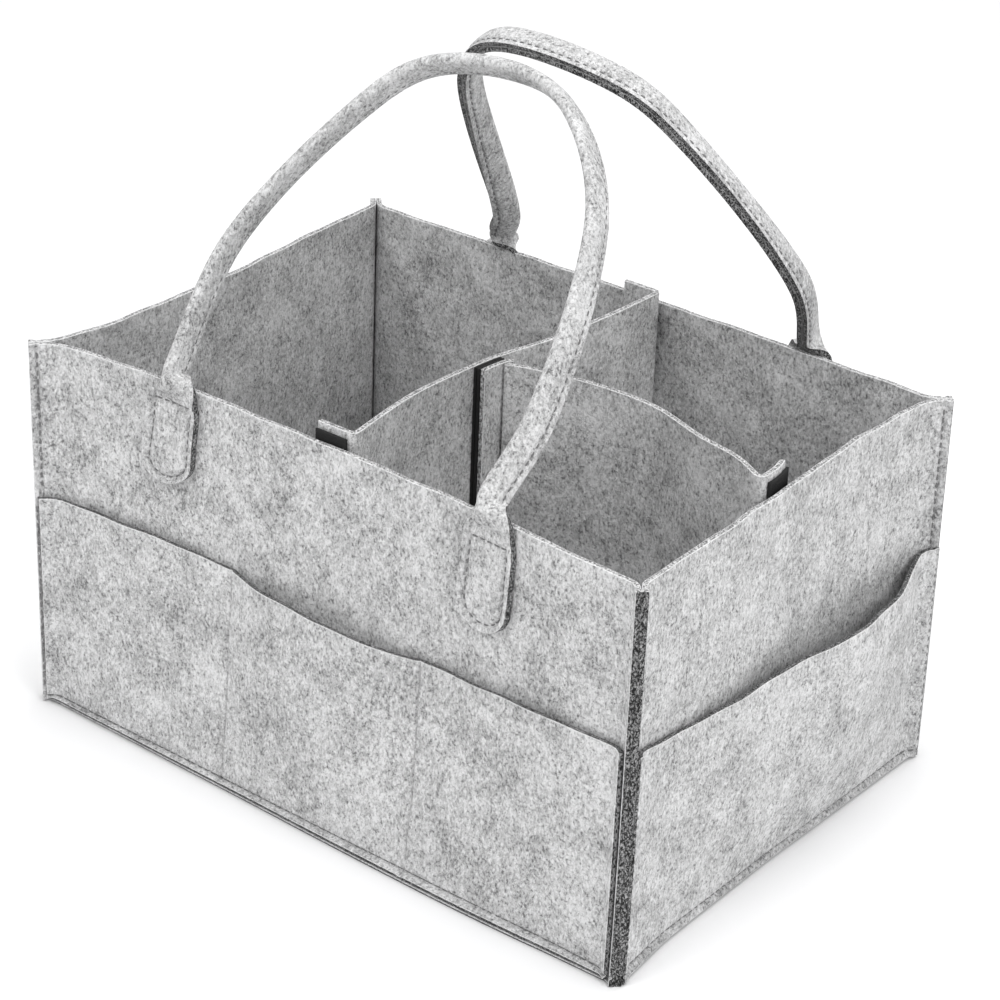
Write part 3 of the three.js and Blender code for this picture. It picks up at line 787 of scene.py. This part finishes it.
def plain_material(name, dark, light, scale, detail, rough_noise, bump_distance, roughness):
    """Thread or tape: two close greys mixed by one fine noise."""
    nodes = Nodes(bpy.data.materials.new(name))
    pattern = nodes.noise(nodes.rest_place(), scale, detail, rough_noise)
    colour = nodes.mix(pattern, grey(dark), grey(light))
    return nodes.finish(colour, pattern, bump_distance, roughness)


# Each look's dark and light greys, level, weights of the patterns, and size of its grain
FELT_LOOKS = (
    felt_material("felt_heather_grey", 0.16, 0.74, 0.66, 0.9, 0.75, 1.95, 0.42),
    felt_material("felt_cut_edge", 0.01, 0.42, 0.26, 0.2, 0.7, 4.4, 0.3, 0.55),
    # The rim look is a painted highlight on the rounded edges
    felt_material("felt_rim_painted_highlight", 0.30, 0.80, 0.80, 0.5, 0.5, 2.4, 0.2, 0.8),
    felt_material("felt_speckled_rim", 0.10, 0.76, 0.46, 0.2, 0.6, 4.4, 0.3, 0.7),
)
SHADED_THREAD_LOOK, PALE_THREAD_LOOK, TAPE_LOOK = (
    plain_material(*values)
    for values in (
        # The sewing thread is painted dark: painted shade of the grooves that the stitches sink into
        ("sewing_thread_painted_shade", 0.13, 0.30, 2600.0, 1.0, 0.5, 0.0003, 0.85),
        ("sewing_thread_pale", 0.34, 0.52, 2600.0, 1.0, 0.5, 0.0003, 0.85),
        ("hook_tape_black", 0.008, 0.03, 1500.0, 3.0, 0.7, 0.0006, 0.75),
    )
)


# Walls and pockets

def wall_columns(side, layer):
    end = side.end(layer)
    keys = [-end, -side.half + 8 * FINE_STEP, 0]
    if side.half > side.out and layer:
        keys[2:] = [-STRIP_SEAM - 4 * FINE_STEP, -STRIP_SEAM + 4 * FINE_STEP, 0]
    keys = keys + [-key for key in keys[-2::-1]]
    places = []
    for low, high in zip(keys, keys[1:]):
        widest = FINE_STEP if high - low < 20 * FINE_STEP else COARSE_STEP
        places.extend(steps_between([low, high], widest)[:-1])
    return np.array([*places, end])


def wall_rows(bottom, top):
    low = steps_between([bottom, SEAM_HEIGHT + 4 * FINE_STEP], FINE_STEP)
    middle = steps_between([SEAM_HEIGHT + 4 * FINE_STEP, top - 4 * FINE_STEP], COARSE_STEP)
    high = steps_between([top - 4 * FINE_STEP, top], FINE_STEP * 2)
    return np.concatenate([low[:-1], middle[:-1], high])


def add_side(side):
    wall_name = f"{side.name}_panel"
    is_long = side.half > side.out
    pocket_name = f"{side.name}_pocket_strip" if is_long else f"{side.name}_pocket_panel"
    lift = STRIP_LIFT if is_long else SIDE_POCKET_LIFT
    layers = ((0, wall_name, WALL_LIFT, WALL_HEIGHT), (1, pocket_name, lift, side.pocket_top))
    for layer, name, bottom, top in layers:
        a, z = np.meshgrid(wall_columns(side, layer), wall_rows(bottom, top))
        if layer:
            z = side.raised(a, z)
        beyond = np.abs(a) - side.half
        dent = groove(z - SEAM_HEIGHT, SEAM_GROOVE) + groove(beyond - CORNER_STITCH, SEAM_GROOVE)
        if layer and is_long:
            dent = dent + groove(np.abs(a) - STRIP_SEAM, POCKET_SEAM_GROOVE)
        if layer:
            dent = dent + FLANGE_SQUEEZE * smooth_step(beyond, 0, FLANGE_SQUEEZE_RUN)
        swell = FLANGE_SWELL * smooth_step(beyond, *FLANGE_SWELL_RUN)
        middle = side.to_box(side.point(layer, a, z))
        ends = "seam" if is_long else "dark"
        edges = {"bottom": "seam", "left": ends, "right": ends, "top": "seam" if layer else "rim"}
        piece = add_sheet(
            f"{name}_felt", middle, FELT_LOOKS, edges,
            front_dent=dent - swell, back_dent=-swell, top_radius=TOP_RADIUS,
        )
        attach(piece, "box")
        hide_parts(name)
        add_side_stitches(side, layer, name, top)


def add_side_stitches(side, layer, name, top):
    def place(a, z):
        return side.to_box(side.point(layer, a, z))

    def run(a, z, sink=GROOVE_DEPTH):
        return stitches(*surface_line(place, a, z, 1), sink)

    low = SEAM_HEIGHT + STITCH_PITCH if layer else side.pocket_top + STITCH_PITCH
    sink = GROOVE_DEPTH + layer * FLANGE_SQUEEZE
    up = np.linspace(low, top - STITCH_PITCH, CORNER_POINTS)
    runs = [run(np.full_like(up, sign * (side.half + CORNER_STITCH)), up, sink) for sign in (-1, 1)]
    if layer:
        along = np.linspace(-side.half, side.half, BOTTOM_POINTS)
        runs.append(run(along, np.full_like(along, SEAM_HEIGHT)))
    thread = add_stitching(f"{name}_stitches", runs, (SHADED_THREAD_LOOK,))
    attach(thread, "box")
    if layer and side.half > side.out:
        up = np.linspace(SEAM_HEIGHT + STITCH_PITCH, top - STITCH_PITCH, UPRIGHT_POINTS)
        runs = [run(np.full_like(up, seam), up) for seam in (-STRIP_SEAM, STRIP_SEAM)]
        thread = add_stitching(f"{name}_upright_stitches", runs, (PALE_THREAD_LOOK,))
        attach(thread, "box")


# Floor

def floor_loop(inset, z):
    """A closed loop inside the box's outline, with round corners."""
    radius = max(min(FLOOR_CORNER, HALF_DEPTH - inset - FINE_STEP), FINE_STEP)
    reach = np.array((HALF_LENGTH, HALF_DEPTH)) - inset - radius
    corner_steps, long_steps, short_steps = 6, 70, 50
    arcs = []
    for corner in range(4):
        middle = (corner + 0.5) * math.pi / 2
        centre = np.copysign(reach, (math.cos(middle), math.sin(middle)))
        turns = (corner + np.arange(corner_steps + 1) / corner_steps) * math.pi / 2
        arcs.append(centre + radius * np.stack([np.cos(turns), np.sin(turns)], -1))
    loop = []
    for corner, arc in enumerate(arcs):
        steps = short_steps if corner % 2 else long_steps
        start, end = arc[-1], arcs[(corner + 1) % 4][0]
        along = np.arange(1, steps)[:, None] / steps
        loop.extend([arc, start + (end - start) * along])
    loop = np.concatenate(loop)
    return np.concatenate([loop, np.full((len(loop), 1), z)], axis=1)


def seam_inset(z, share):
    return SEAT_INSET - seam_flare(z, share) + PITCH * seam_spread(z, share)


def flared(points):
    """Follows the walls, whose bottom seams flare out by different shares."""
    moved = points.copy()
    z = np.minimum(points[..., 2], SEAM_HEIGHT)
    for side in SIDES:
        axis = 1 if side.half > side.out else 0
        sign = 1 if side in (RIGHT, BACK) else -1
        near = smooth_step(sign * points[..., axis] - side.out, *(-reach for reach in FLARE_REACH))
        share = side.flare_share(-sign * points[..., 0] if axis else sign * points[..., 1])
        moved[..., axis] += sign * near * (seam_inset(z, 1) - seam_inset(z, share))
    return moved


def add_floor():
    margin_z = np.linspace(0, SEAM_HEIGHT, 7)
    margin = [(seam_inset(z, 1), z) for z in margin_z]
    edge_x, edge_z = margin[-1]
    top_x = edge_x + CURL_RUN
    run_share, rise_share = CURL_START_SHARES
    start = (edge_x + CURL_RUN * run_share, edge_z + CURL_RISE * rise_share)
    slope = steps_between([0, 1], SLOPE_STEP_SHARE)[1:]
    low = FELT / 2
    high = edge_z + CURL_RISE
    fall = [(top_x + SLOPE_RUN * s, high + (low - high) * (3 * s * s - 2 * s ** 3)) for s in slope]
    inner = HALF_DEPTH - 4 * FINE_STEP
    flat = [(x, low) for x in steps_between([top_x + SLOPE_RUN, inner], FLAT_STEP)[1:]]
    profile = [*margin, start, (top_x, high), *fall, *flat]
    middle = np.array([floor_loop(inset, z) for inset, z in profile])
    middle = settled(flared(middle))
    piece = add_sheet("bottom_panel_felt", middle, FELT_LOOKS, {"bottom": "dark"}, round_it=True)
    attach(piece, "box")
    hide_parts("bottom_panel")


# Handles

class Foot:
    """One end of a strap: a flat tab on the wall, with its cross stitch."""

    def __init__(self, low, cross, shift, slant):
        self.low = low
        self.shift = shift
        self.cross = cross
        self.slant = math.tan(math.radians(slant))
        self.tab_run = cross - low
        self.neck_run = SWING_Z + FOLD_END - cross


class Handle:
    """A strap sewn flat to its wall by two tabs and folded lengthwise between them."""

    def __init__(self, side, offset, rise, tilt, swing_out, shares, twist, ends):
        self.side = side
        self.feet = (offset - HANDLE_SPACING / 2, offset + HANDLE_SPACING / 2)
        self.ends = ends
        self.tilt = tilt
        self.swing = np.array([0, -swing_out, SWING_Z])
        arch = np.array([(offset + x * HANDLE_SPACING / 2, 0, s * rise) for x, s in shares])
        self.twist = twist
        self.lay_centre_line(arch)

    def tilted(self, points):
        """From the upright arch to its place, leaning in over the box."""
        cos, sin = math.cos(self.tilt), math.sin(self.tilt)
        x, y, z = np.moveaxis(np.asarray(points, float), -1, 0)
        return np.stack([x, y * cos + z * sin, z * cos - y * sin], -1)

    def lay_centre_line(self, arch):
        curve = chord_spline(arch)
        lengths = run_lengths(curve)
        total = lengths[-1]
        keep = (lengths > BRIDGE_REACH) & (lengths < total - BRIDGE_REACH)
        arch_part = self.swing + self.tilted(curve[keep])
        share = lengths[keep] / total
        ends = []
        for foot, end, order in ((self.feet[0], self.ends[0], 1), (self.feet[1], self.ends[1], -1)):
            z = np.linspace(end.low, TAB_TOP, TAB_SIDE_POINTS)
            tab = self.side.point(0, foot + end.shift - end.slant * (end.cross - z), z, PITCH)
            near, next_point = arch_part[::order][:2]
            span = np.linalg.norm(near - tab[-1])
            rise, away = span * unit(tab[-1] - tab[-2]), span * unit(next_point - near)
            t = np.linspace(0, 1, BRIDGE_POINTS)[1:-1, None]
            ends.append(np.concatenate([tab, hermite(tab[-1], rise, near, away, t)]))
        line = np.concatenate([ends[0], arch_part, ends[1][::-1]])
        share = np.concatenate([np.zeros(len(ends[0])), share, np.ones(len(ends[1]))])
        self.length = run_lengths(line)[-1]
        where = run_lengths(line)
        self.at = np.linspace(0, self.length, int(self.length / FINE_STEP))
        kernel = np.hanning(2 * CENTRE_SMOOTHING + 1)
        kernel /= kernel.sum()
        padded = np.pad(
            read_line(line, where, self.at), ((CENTRE_SMOOTHING, CENTRE_SMOOTHING), (0, 0)),
            mode="reflect", reflect_type="odd",
        )
        self.centre = np.stack([np.convolve(column, kernel, "valid") for column in padded.T], -1)
        tangent = unit(np.gradient(self.centre, axis=0))
        above = self.above_tab(self.at)
        neck_run = self.of_end("neck_run", self.at)
        to_swing = SWING_Z - self.of_end("cross", self.at)
        lean = smooth_step(above, 0, to_swing + BRIDGE_REACH)[:, None]
        plane = (1 - lean) * np.array([0, 1.0, 0]) + lean * self.tilted([0, 1.0, 0])
        plane = unit(plane - tangent * (plane * tangent).sum(1, keepdims=True))
        outward = np.cross(tangent, plane)
        self.fold = smooth_step(above, neck_run - FOLD_RUN, neck_run) * math.pi / 2
        arch_share = np.interp(self.at, where, share)
        turn = read_shares(np.radians(self.twist), 2 * arch_share - 1)
        turn = turn * smooth_step(above, 0, neck_run * TWIST_RUN_SHARE)
        cos, sin = np.cos(turn)[:, None], np.sin(turn)[:, None]
        self.across = outward * cos - plane * sin
        self.through = plane * cos + outward * sin
        neck = np.exp(-((above - to_swing) / NECK_REACH) ** 2)
        tab = 1 - smooth_step(above, -WIDEN_REACH, WIDEN_REACH)
        self.width = STRAP_WIDTH - (STRAP_WIDTH - NECK_WIDTH) * neck
        self.width += (TAB_WIDTH - STRAP_WIDTH) * tab

    def of_end(self, name, s):
        """A value of the nearer end, at places along the strap."""
        first, second = (getattr(end, name) for end in self.ends)
        return np.where(np.asarray(s) < self.length / 2, first, second)

    def from_end(self, s):
        return np.minimum(s, self.length - s)

    def above_tab(self, s):
        return self.from_end(s) - self.of_end("tab_run", s)

    def read(self, values, s):
        """Reads what is known along the centre line at places along it."""
        return read_line(values, self.at, s)

    def place(self, w, s):
        """Middle surface: w runs across the strap from edge to edge, s along it."""
        w, s = np.broadcast_arrays(np.asarray(w, float), np.asarray(s, float))
        fold = np.maximum(self.read(self.fold, s), 1e-6)
        w = w * self.read(self.width, s) / STRAP_WIDTH
        half = self.read(self.width, s) / 2
        radius = FOLD_RADIUS
        bend = np.minimum(np.abs(w), radius * fold)
        straight = np.abs(w) - bend
        angle = bend / radius
        p = radius * np.sin(angle) + straight * np.cos(fold)
        q = radius * (1 - np.cos(angle)) + straight * np.sin(fold)
        swell = np.sin(np.clip(straight / np.maximum(half - radius * fold, 1e-6), 0, 1) * math.pi)
        p = np.sign(w) * (p + FOLD_BULGE * swell * np.sin(fold))
        above = self.above_tab(s)
        past_wall = smooth_step(above - self.of_end("neck_run", s) + FOLD_END, *PAST_WALL)
        q = q - half * np.sin(fold) * (1 - past_wall / 2)
        strap = self.read(self.centre, s) + self.read(self.across, s) * p[..., None]
        strap = strap + self.read(self.through, s) * q[..., None]
        foot = np.where(s < self.length / 2, self.feet[0], self.feet[1])
        foot = foot + self.of_end("shift", s) + self.of_end("slant", s) * np.minimum(above, 0)
        hand = np.where(s < self.length / 2, -1, 1)
        tab_z = self.of_end("cross", s) + above
        tab = self.side.point(0, foot + hand * w, np.minimum(tab_z, WALL_HEIGHT), PITCH)
        tab[..., 2] = tab_z
        free = smooth_step(above, *LEAVE_TAB)[..., None]
        return self.side.to_box(tab * (1 - free) + strap * free)

    def grid(self):
        """Paired coordinates w and s, which follow the round ends of the tabs."""
        half = STRAP_WIDTH / 2
        columns = half * np.sin(np.linspace(math.pi / 2, -math.pi / 2, STRAP_COLUMNS))
        straight_from = half * ROUND_REACH_SHARE
        start = half - np.sqrt(np.maximum(half ** 2 - columns ** 2, 0))
        round_rows = np.linspace(0, 1, ROUND_ROWS)[:, None] * (straight_from - start) + start
        first, second = (end.tab_run + end.neck_run * FINE_FOOT_SHARE for end in self.ends)
        near = steps_between([straight_from, first], FOOT_STEP)[1:]
        arch = steps_between([first, self.length - second], ARCH_STEP)[1:-1]
        far = self.length - steps_between([straight_from, second], FOOT_STEP)[:0:-1]
        body = np.concatenate([near, arch, far])
        straight = np.repeat(body[:, None], len(columns), axis=1)
        s = np.concatenate([round_rows, straight, self.length - round_rows[::-1]])
        return np.repeat(columns[None], len(s), axis=0), s

    def tab_edge(self, w, s):
        """Distance inside the edge of a tab."""
        half = STRAP_WIDTH / 2
        below = np.maximum(half - self.from_end(s), 0)
        return half - np.hypot(w, below)

    def dent(self, w, s):
        """How deep the front face lies: grooves under the stitches, less the tabs' swell."""
        above = self.above_tab(s)
        neck_run = self.of_end("neck_run", s)
        edge = self.tab_edge(w, s)
        side_edge = STRAP_WIDTH / 2 - np.abs(w)
        along = groove(edge - TAB_STITCH) * (1 - smooth_step(above, 0, TAB_GROOVE_END))
        cross = groove(above, CROSS_GROOVE) * smooth_step(side_edge, 0, TAB_STITCH)
        folded = smooth_step(above, neck_run - FOLD_RUN / 2, neck_run)
        seam = groove(side_edge - STRAP_STITCH) * folded
        rim = 1 - smooth_step(edge, *(TAB_STITCH - inside for inside in TAB_RIM))
        pad = smooth_step(edge, TAB_STITCH, TAB_STITCH * 2) * smooth_step(np.abs(above), *PAD_GAP)
        swell = TAB_SWELL * (rim + PAD_SHARE * pad) * (1 - smooth_step(above, *SWELL_END))
        return np.maximum(along, cross) + seam - swell


def add_handle(handle):
    name = handle.side.name
    w, s = handle.grid()
    middle = handle.place(w, s)
    piece = add_sheet(
        f"{name}_handle_webbing", middle, FELT_LOOKS, dict.fromkeys(SHEET_SIDES, "strap"),
        front_dent=handle.dent(w, s),
    )
    runs = handle_stitches(handle)
    thread = add_stitching(f"{name}_handle_stitches", runs, (SHADED_THREAD_LOOK,))
    hinge = Vector(handle.side.to_box(handle.swing))
    rise = Vector(handle.side.to_box(handle.tilted([0, 0, BLEND_REACH])))
    for part in (piece, thread):
        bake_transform(part)
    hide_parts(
        f"{name}_handle_left_tab", f"{name}_handle_right_tab", f"{name}_handle_strap",
    )


def handle_stitches(handle):
    half = STRAP_WIDTH / 2
    inside = half - TAB_STITCH

    def run(w, s):
        return stitches(*surface_line(handle.place, w, s, -1))

    runs = []
    for end, from_far in ((handle.ends[0], False), (handle.ends[1], True)):
        turn = np.linspace(-math.pi / 2, math.pi / 2, TAB_ARC_POINTS)
        arc_w, arc_s = inside * np.sin(turn), half - inside * np.cos(turn)
        up = np.linspace(half, end.tab_run - STITCH_PITCH / 2, TAB_SIDE_POINTS)
        w = np.concatenate([np.full_like(up, -inside), arc_w[1:-1], np.full_like(up, inside)])
        s = np.concatenate([up[::-1], arc_s[1:-1], up])
        cross_w = np.linspace(-inside, inside, TAB_SIDE_POINTS)
        cross_s = np.full_like(cross_w, end.tab_run)
        for part_w, part_s in ((w, s), (cross_w, cross_s)):
            runs.append(run(part_w, handle.length - part_s if from_far else part_s))
    starts = [end.tab_run + end.neck_run * STRAP_SEAM_START_SHARE for end in handle.ends]
    along = np.linspace(starts[0], handle.length - starts[1], STRAP_POINTS)
    for hand in (-1, 1):
        runs.append(run(np.full_like(along, hand * (half - STRAP_STITCH)), along))
    return runs


HANDLES = (
    Handle(
        FRONT, offset=-0.0033, rise=0.177, tilt=math.radians(38), swing_out=0.107831,
        shares=(
            (-1, 0), (-1, 0.04), (-1.02, 0.375), (-0.68, 0.77), (-0.4, 0.94), (0.06, 1),
            (0.44, 0.965), (0.85, 0.75), (1.05, 0.245), (1, 0.04), (1, 0),
        ),
        twist=(0, 8, 13, 6, -4, 0, 5, 26, 47),
        ends=(
            Foot(low=0.1387, cross=0.1790, shift=0.0018, slant=7),
            Foot(low=0.1343, cross=0.1765, shift=0.0028, slant=3.5),
        ),
    ),
    Handle(
        BACK, offset=-0.004, rise=0.165, tilt=math.radians(31), swing_out=0.117072,
        shares=(
            (-1, 0), (-1, 0.04), (-1.065, 0.285), (-0.655, 0.787), (-0.42, 0.925), (0.165, 0.986),
            (0.47, 0.94), (0.7, 0.77), (0.91, 0.13), (1, 0.04), (1, 0),
        ),
        twist=(0, 26, 11, 10, 65),
        ends=(
            Foot(low=0.1370, cross=0.1780, shift=0, slant=2),
            Foot(low=0.1370, cross=0.1780, shift=0, slant=-2),
        ),
    ),
)


# Dividers

TAPE_ON_FELT = FELT / 2 + GAP + TAPE / 2
TAPE_ON_TAPE = TAPE + GAP
END_TAPE_DEPTH = 2 * GAP + TAPE + FELT / 2
T_STRIP_DISTANCE = 2 * TAPE_ON_FELT + TAPE_ON_TAPE
DIVIDER_TOP = DIVIDER_BOTTOM + DIVIDER_HEIGHT


def inner_reach(side, low, high):
    """Distance from the middle of the box to a wall's inner face, at its nearest."""
    a = np.linspace(low, high, WALL_PROBES)
    return side.out - side.wall_inset(a, WALL_HEIGHT).max() - FELT / 2


def go_on(line, stretches):
    """Goes on from the end of a line through stretches of a length and a turn."""
    step = line[-1] - line[-2]
    heading = math.atan2(step[1], step[0])
    place = line[-1]
    added = []
    for length, turn in stretches:
        for _ in range(TURN_STEPS):
            heading += turn / TURN_STEPS / 2
            place = place + np.array([math.cos(heading), math.sin(heading)]) * length / TURN_STEPS
            heading += turn / TURN_STEPS / 2
            added.append(place)
    return np.array(added)


def line_beside(line, distance):
    run = unit(np.gradient(line, axis=0))
    return line + np.stack([-run[:, 1], run[:, 0]], -1) * distance


def long_line():
    flap_reach = LONG_SWAY / 2 - DIVIDER_FOLD - FLAP_LENGTH
    front_end = inner_reach(FRONT, flap_reach, LONG_SWAY) - END_TAPE_DEPTH - DIVIDER_FOLD
    back_end = inner_reach(BACK, -LONG_SWAY, FLAP_LENGTH) - END_TAPE_DEPTH - DIVIDER_FOLD
    places = [(x * LONG_SWAY, y * (front_end if y < 0 else back_end)) for x, y in LONG_SHARES]
    return even_spline(places, PLAN_POINTS)


def end_flap(line, direction):
    """The folded flap at one end of the long divider, square to its wall."""
    if direction < 0:
        line = line[::-1]
    last, before = line[-1], line[-2]
    slant = math.atan2(last[0] - before[0], direction * (last[1] - before[1])) * direction
    turn = direction * math.pi / 2 + slant
    return go_on(line, [(DIVIDER_FOLD * math.pi / 2, turn), (FLAP_LENGTH, 0.0)])


def beside_long(line, low, high, distance):
    y = np.linspace(low, high, T_STRIP_POINTS)
    x = np.interp(y, line[:, 1], line[:, 0])
    return line_beside(np.stack([x, y], -1), -distance)


def short_line(long):
    strip = beside_long(long, T_STRIP_FRONT, T_STRIP_BACK, T_STRIP_DISTANCE)
    strip_x = strip[np.abs(strip[:, 1] - SHORT_START) < 2 * FELT, 0].max()
    wall_x = inner_reach(RIGHT, SHORT_START - SHORT_SWAY, FLAP_LENGTH) - END_TAPE_DEPTH
    span = wall_x - strip_x
    (first_x, first_y), (late_x, late_y), (end_x, end_y) = SHORT_SHARES[1], *SHORT_SHARES[-2:]
    end_slope = math.atan2((late_y - end_y) * SHORT_SWAY, (end_x - late_x) * span)
    start_slope = math.atan2(first_y * SHORT_SWAY, first_x * span)
    start_x = strip_x + GAP + FELT / 2 * (1 + math.sin(start_slope))
    end_reach = wall_x - DIVIDER_FOLD * (1 + math.sin(end_slope))
    places = [
        (start_x + (end_reach - start_x) * x, SHORT_START + y * SHORT_SWAY) for x, y in SHORT_SHARES
    ]
    line = even_spline(places, PLAN_POINTS)
    turn = math.pi / 2 + end_slope
    flap = go_on(line, [(DIVIDER_FOLD * turn, turn), (FLAP_LENGTH, FLAP_CURL)])
    return line, flap


def upright(plan, z):
    """A grid of points that stands on a plan line, with a row at each height."""
    grid = np.empty((len(z), len(plan), 3))
    grid[..., :2] = plan
    grid[..., 2] = z[:, None]
    return grid


def add_standing(name, line, body, ends, kind="strap"):
    fine_from = DIVIDER_TOP - 5 * FINE_STEP
    low = steps_between([DIVIDER_BOTTOM, fine_from], DIVIDER_STEP * 1.5)[:-1]
    z = np.concatenate([low, steps_between([fine_from, DIVIDER_TOP], FINE_STEP)])
    middle = upright(resample(line, int(run_lengths(line)[-1] / DIVIDER_STEP) + 2), z)
    edges = {"top": "rim", "bottom": "strap", **dict.fromkeys(ends, kind)}
    piece = add_sheet(f"{name}_felt", middle, FELT_LOOKS, edges, top_radius=TOP_RADIUS)
    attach(piece, body)
    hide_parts(name)


def add_tape(name, line, body, bottom, top):
    plan = resample(line, max(int(run_lengths(line)[-1] / TAPE_STEP), 4))
    z = steps_between([bottom, top], TAPE_STEP)
    middle = upright(plan, z)
    rows, columns = np.indices(middle.shape[:2])
    inside = (rows > 1) & (rows < len(z) - 2) & (columns > 1) & (columns < len(plan) - 2)
    pile = PILE_DEPTH * (inside & ((rows + columns) % 2 == 1))
    piece = add_sheet(
        f"{name}_weave", middle, (TAPE_LOOK,), {}, thickness=TAPE, front_dent=pile, back_dent=pile,
    )
    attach(piece, body)
    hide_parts(name)


def add_dividers():
    long = long_line()
    front_flap = end_flap(long, -1)
    back_flap = end_flap(long, 1)
    whole = np.concatenate([front_flap[::-1], long, back_flap])
    short, short_flap = short_line(long)
    strip = beside_long(long, T_STRIP_FRONT, T_STRIP_BACK, T_STRIP_DISTANCE)
    strip = np.concatenate([strip, go_on(strip, [(T_STRIP_CURL_RUN, -STRIP_CURL)])])
    add_standing("long_divider", whole, "long_divider_unit", ("left", "right"))
    short_whole = np.concatenate([short, short_flap])
    add_standing("short_divider", short_whole, "short_divider_unit", ("right",))
    add_standing("short_divider_t_strip", strip, "short_divider_unit", ("left", "right"), "rim")
    low, high = DIVIDER_BOTTOM + TAPE_END_MARGIN, DIVIDER_TOP - TAPE_END_MARGIN
    flap_start = len(front_flap) // 2 - 1
    ends = (
        ("long_divider_front_hook_tape", front_flap, 1, "long_divider_unit"),
        ("long_divider_back_hook_tape", back_flap, -1, "long_divider_unit"),
        ("short_divider_end_hook_tape", short_flap, -1, "short_divider_unit"),
    )
    for name, flap, hand, body in ends:
        add_tape(name, line_beside(flap[flap_start:], hand * TAPE_ON_FELT), body, low, high)
    joint = (
        ("long_divider_loop_tape", TAPE_ON_FELT, "long_divider_unit"),
        ("t_strip_hook_tape", TAPE_ON_FELT + TAPE_ON_TAPE, "short_divider_unit"),
    )
    for name, distance, body in joint:
        line = beside_long(long, T_STRIP_FRONT - TAPE_OVERHANG, TAPE_BACK, distance)
        add_tape(name, line, body, DIVIDER_BOTTOM, DIVIDER_TOP)
    lengths = run_lengths(strip)
    z = np.linspace(DIVIDER_BOTTOM + STITCH_PITCH, DIVIDER_TOP - STITCH_PITCH, T_STITCH_POINTS)

    def place(s, z):
        return np.concatenate([read_line(strip, lengths, s), z[..., None]], -1)

    runs = [stitches(*surface_line(place, np.full_like(z, T_STRIP_STITCH), z, 1))]
    piece = add_stitching("t_strip_seam_stitches", runs, (SHADED_THREAD_LOOK,))
    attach(piece, "short_divider_unit")


# Stage

FLOOR_HALF = 6.0
FLOOR_LEVEL = 0.95
FLOOR_FADE = (0.7, 1.8)
SKY_LEVEL = 0.55
WHITE = (1, 1, 1, 1)
AIM = (0, 0, 0.12)
# Name, place, width and power of each lamp
LAMPS = (
    ("key", (-0.6, -1.6, 2.1), 1.6, 21),
    ("fill", (2.0, -0.6, 1.5), 1.4, 21),
    ("top", (0.1, 0.5, 2.6), 1.8, 31),
)


def add_floor_plane():
    """A floor that keeps the shadow, and turns to plain white away from the object."""
    h = FLOOR_HALF
    points = np.array([(-h, -h, 0), (h, -h, 0), (h, h, 0), (-h, h, 0)], float)
    nodes = Nodes(bpy.data.materials.new("stage_white"))
    away = nodes.add("ShaderNodeVectorMath", {"operation": "LENGTH"})
    nodes.put(away, 0, nodes.rest_place())
    far = nodes.step(away.outputs["Value"], *FLOOR_FADE)
    seen = nodes.add("ShaderNodeLightPath").outputs["Is Camera Ray"]
    mixed = nodes.add("ShaderNodeMixShader")
    nodes.put(mixed, 0, nodes.math("MULTIPLY", far, seen))
    nodes.put(mixed, 1, nodes.add("ShaderNodeBsdfDiffuse", Color=grey(FLOOR_LEVEL)).outputs[0])
    nodes.put(mixed, 2, nodes.add("ShaderNodeEmission", Color=WHITE).outputs[0])
    nodes.add("ShaderNodeOutputMaterial", Surface=mixed.outputs[0])
    add_piece("stage_floor", points, [[0, 1, 2, 3]], (nodes.owner,))


def add_world():
    """A sky that looks white, and lights the object less than it looks."""
    nodes = Nodes(bpy.data.worlds.new("studio"))
    rays = nodes.add("ShaderNodeLightPath").outputs
    mirrored = nodes.math("MAXIMUM", rays["Is Glossy Ray"], rays["Is Transmission Ray"])
    seen = nodes.math("MAXIMUM", rays["Is Camera Ray"], mirrored)
    strength = nodes.add("ShaderNodeMapRange", Value=seen, To_Min=SKY_LEVEL).outputs[0]
    background = nodes.add("ShaderNodeBackground", Color=WHITE, Strength=strength)
    nodes.add("ShaderNodeOutputWorld", Surface=background.outputs[0])
    bpy.context.scene.world = nodes.owner


def add_lamps():
    for name, place, size, power in LAMPS:
        light = bpy.data.lights.new(name, "AREA")
        light.shape = "DISK"
        light.size = size
        light.energy = power
        lamp = bpy.data.objects.new(name, light)
        lamp.location = place
        lamp.rotation_euler = (Vector(AIM) - Vector(place)).to_track_quat("-Z", "Y").to_euler()
        bpy.context.scene.collection.objects.link(lamp)


add_camera()
for side in SIDES:
    add_side(side)
add_floor()
for handle in HANDLES:
    add_handle(handle)
add_dividers()
add_floor_plane()
add_world()
add_lamps()
bpy.context.scene.view_settings.view_transform = "Standard"
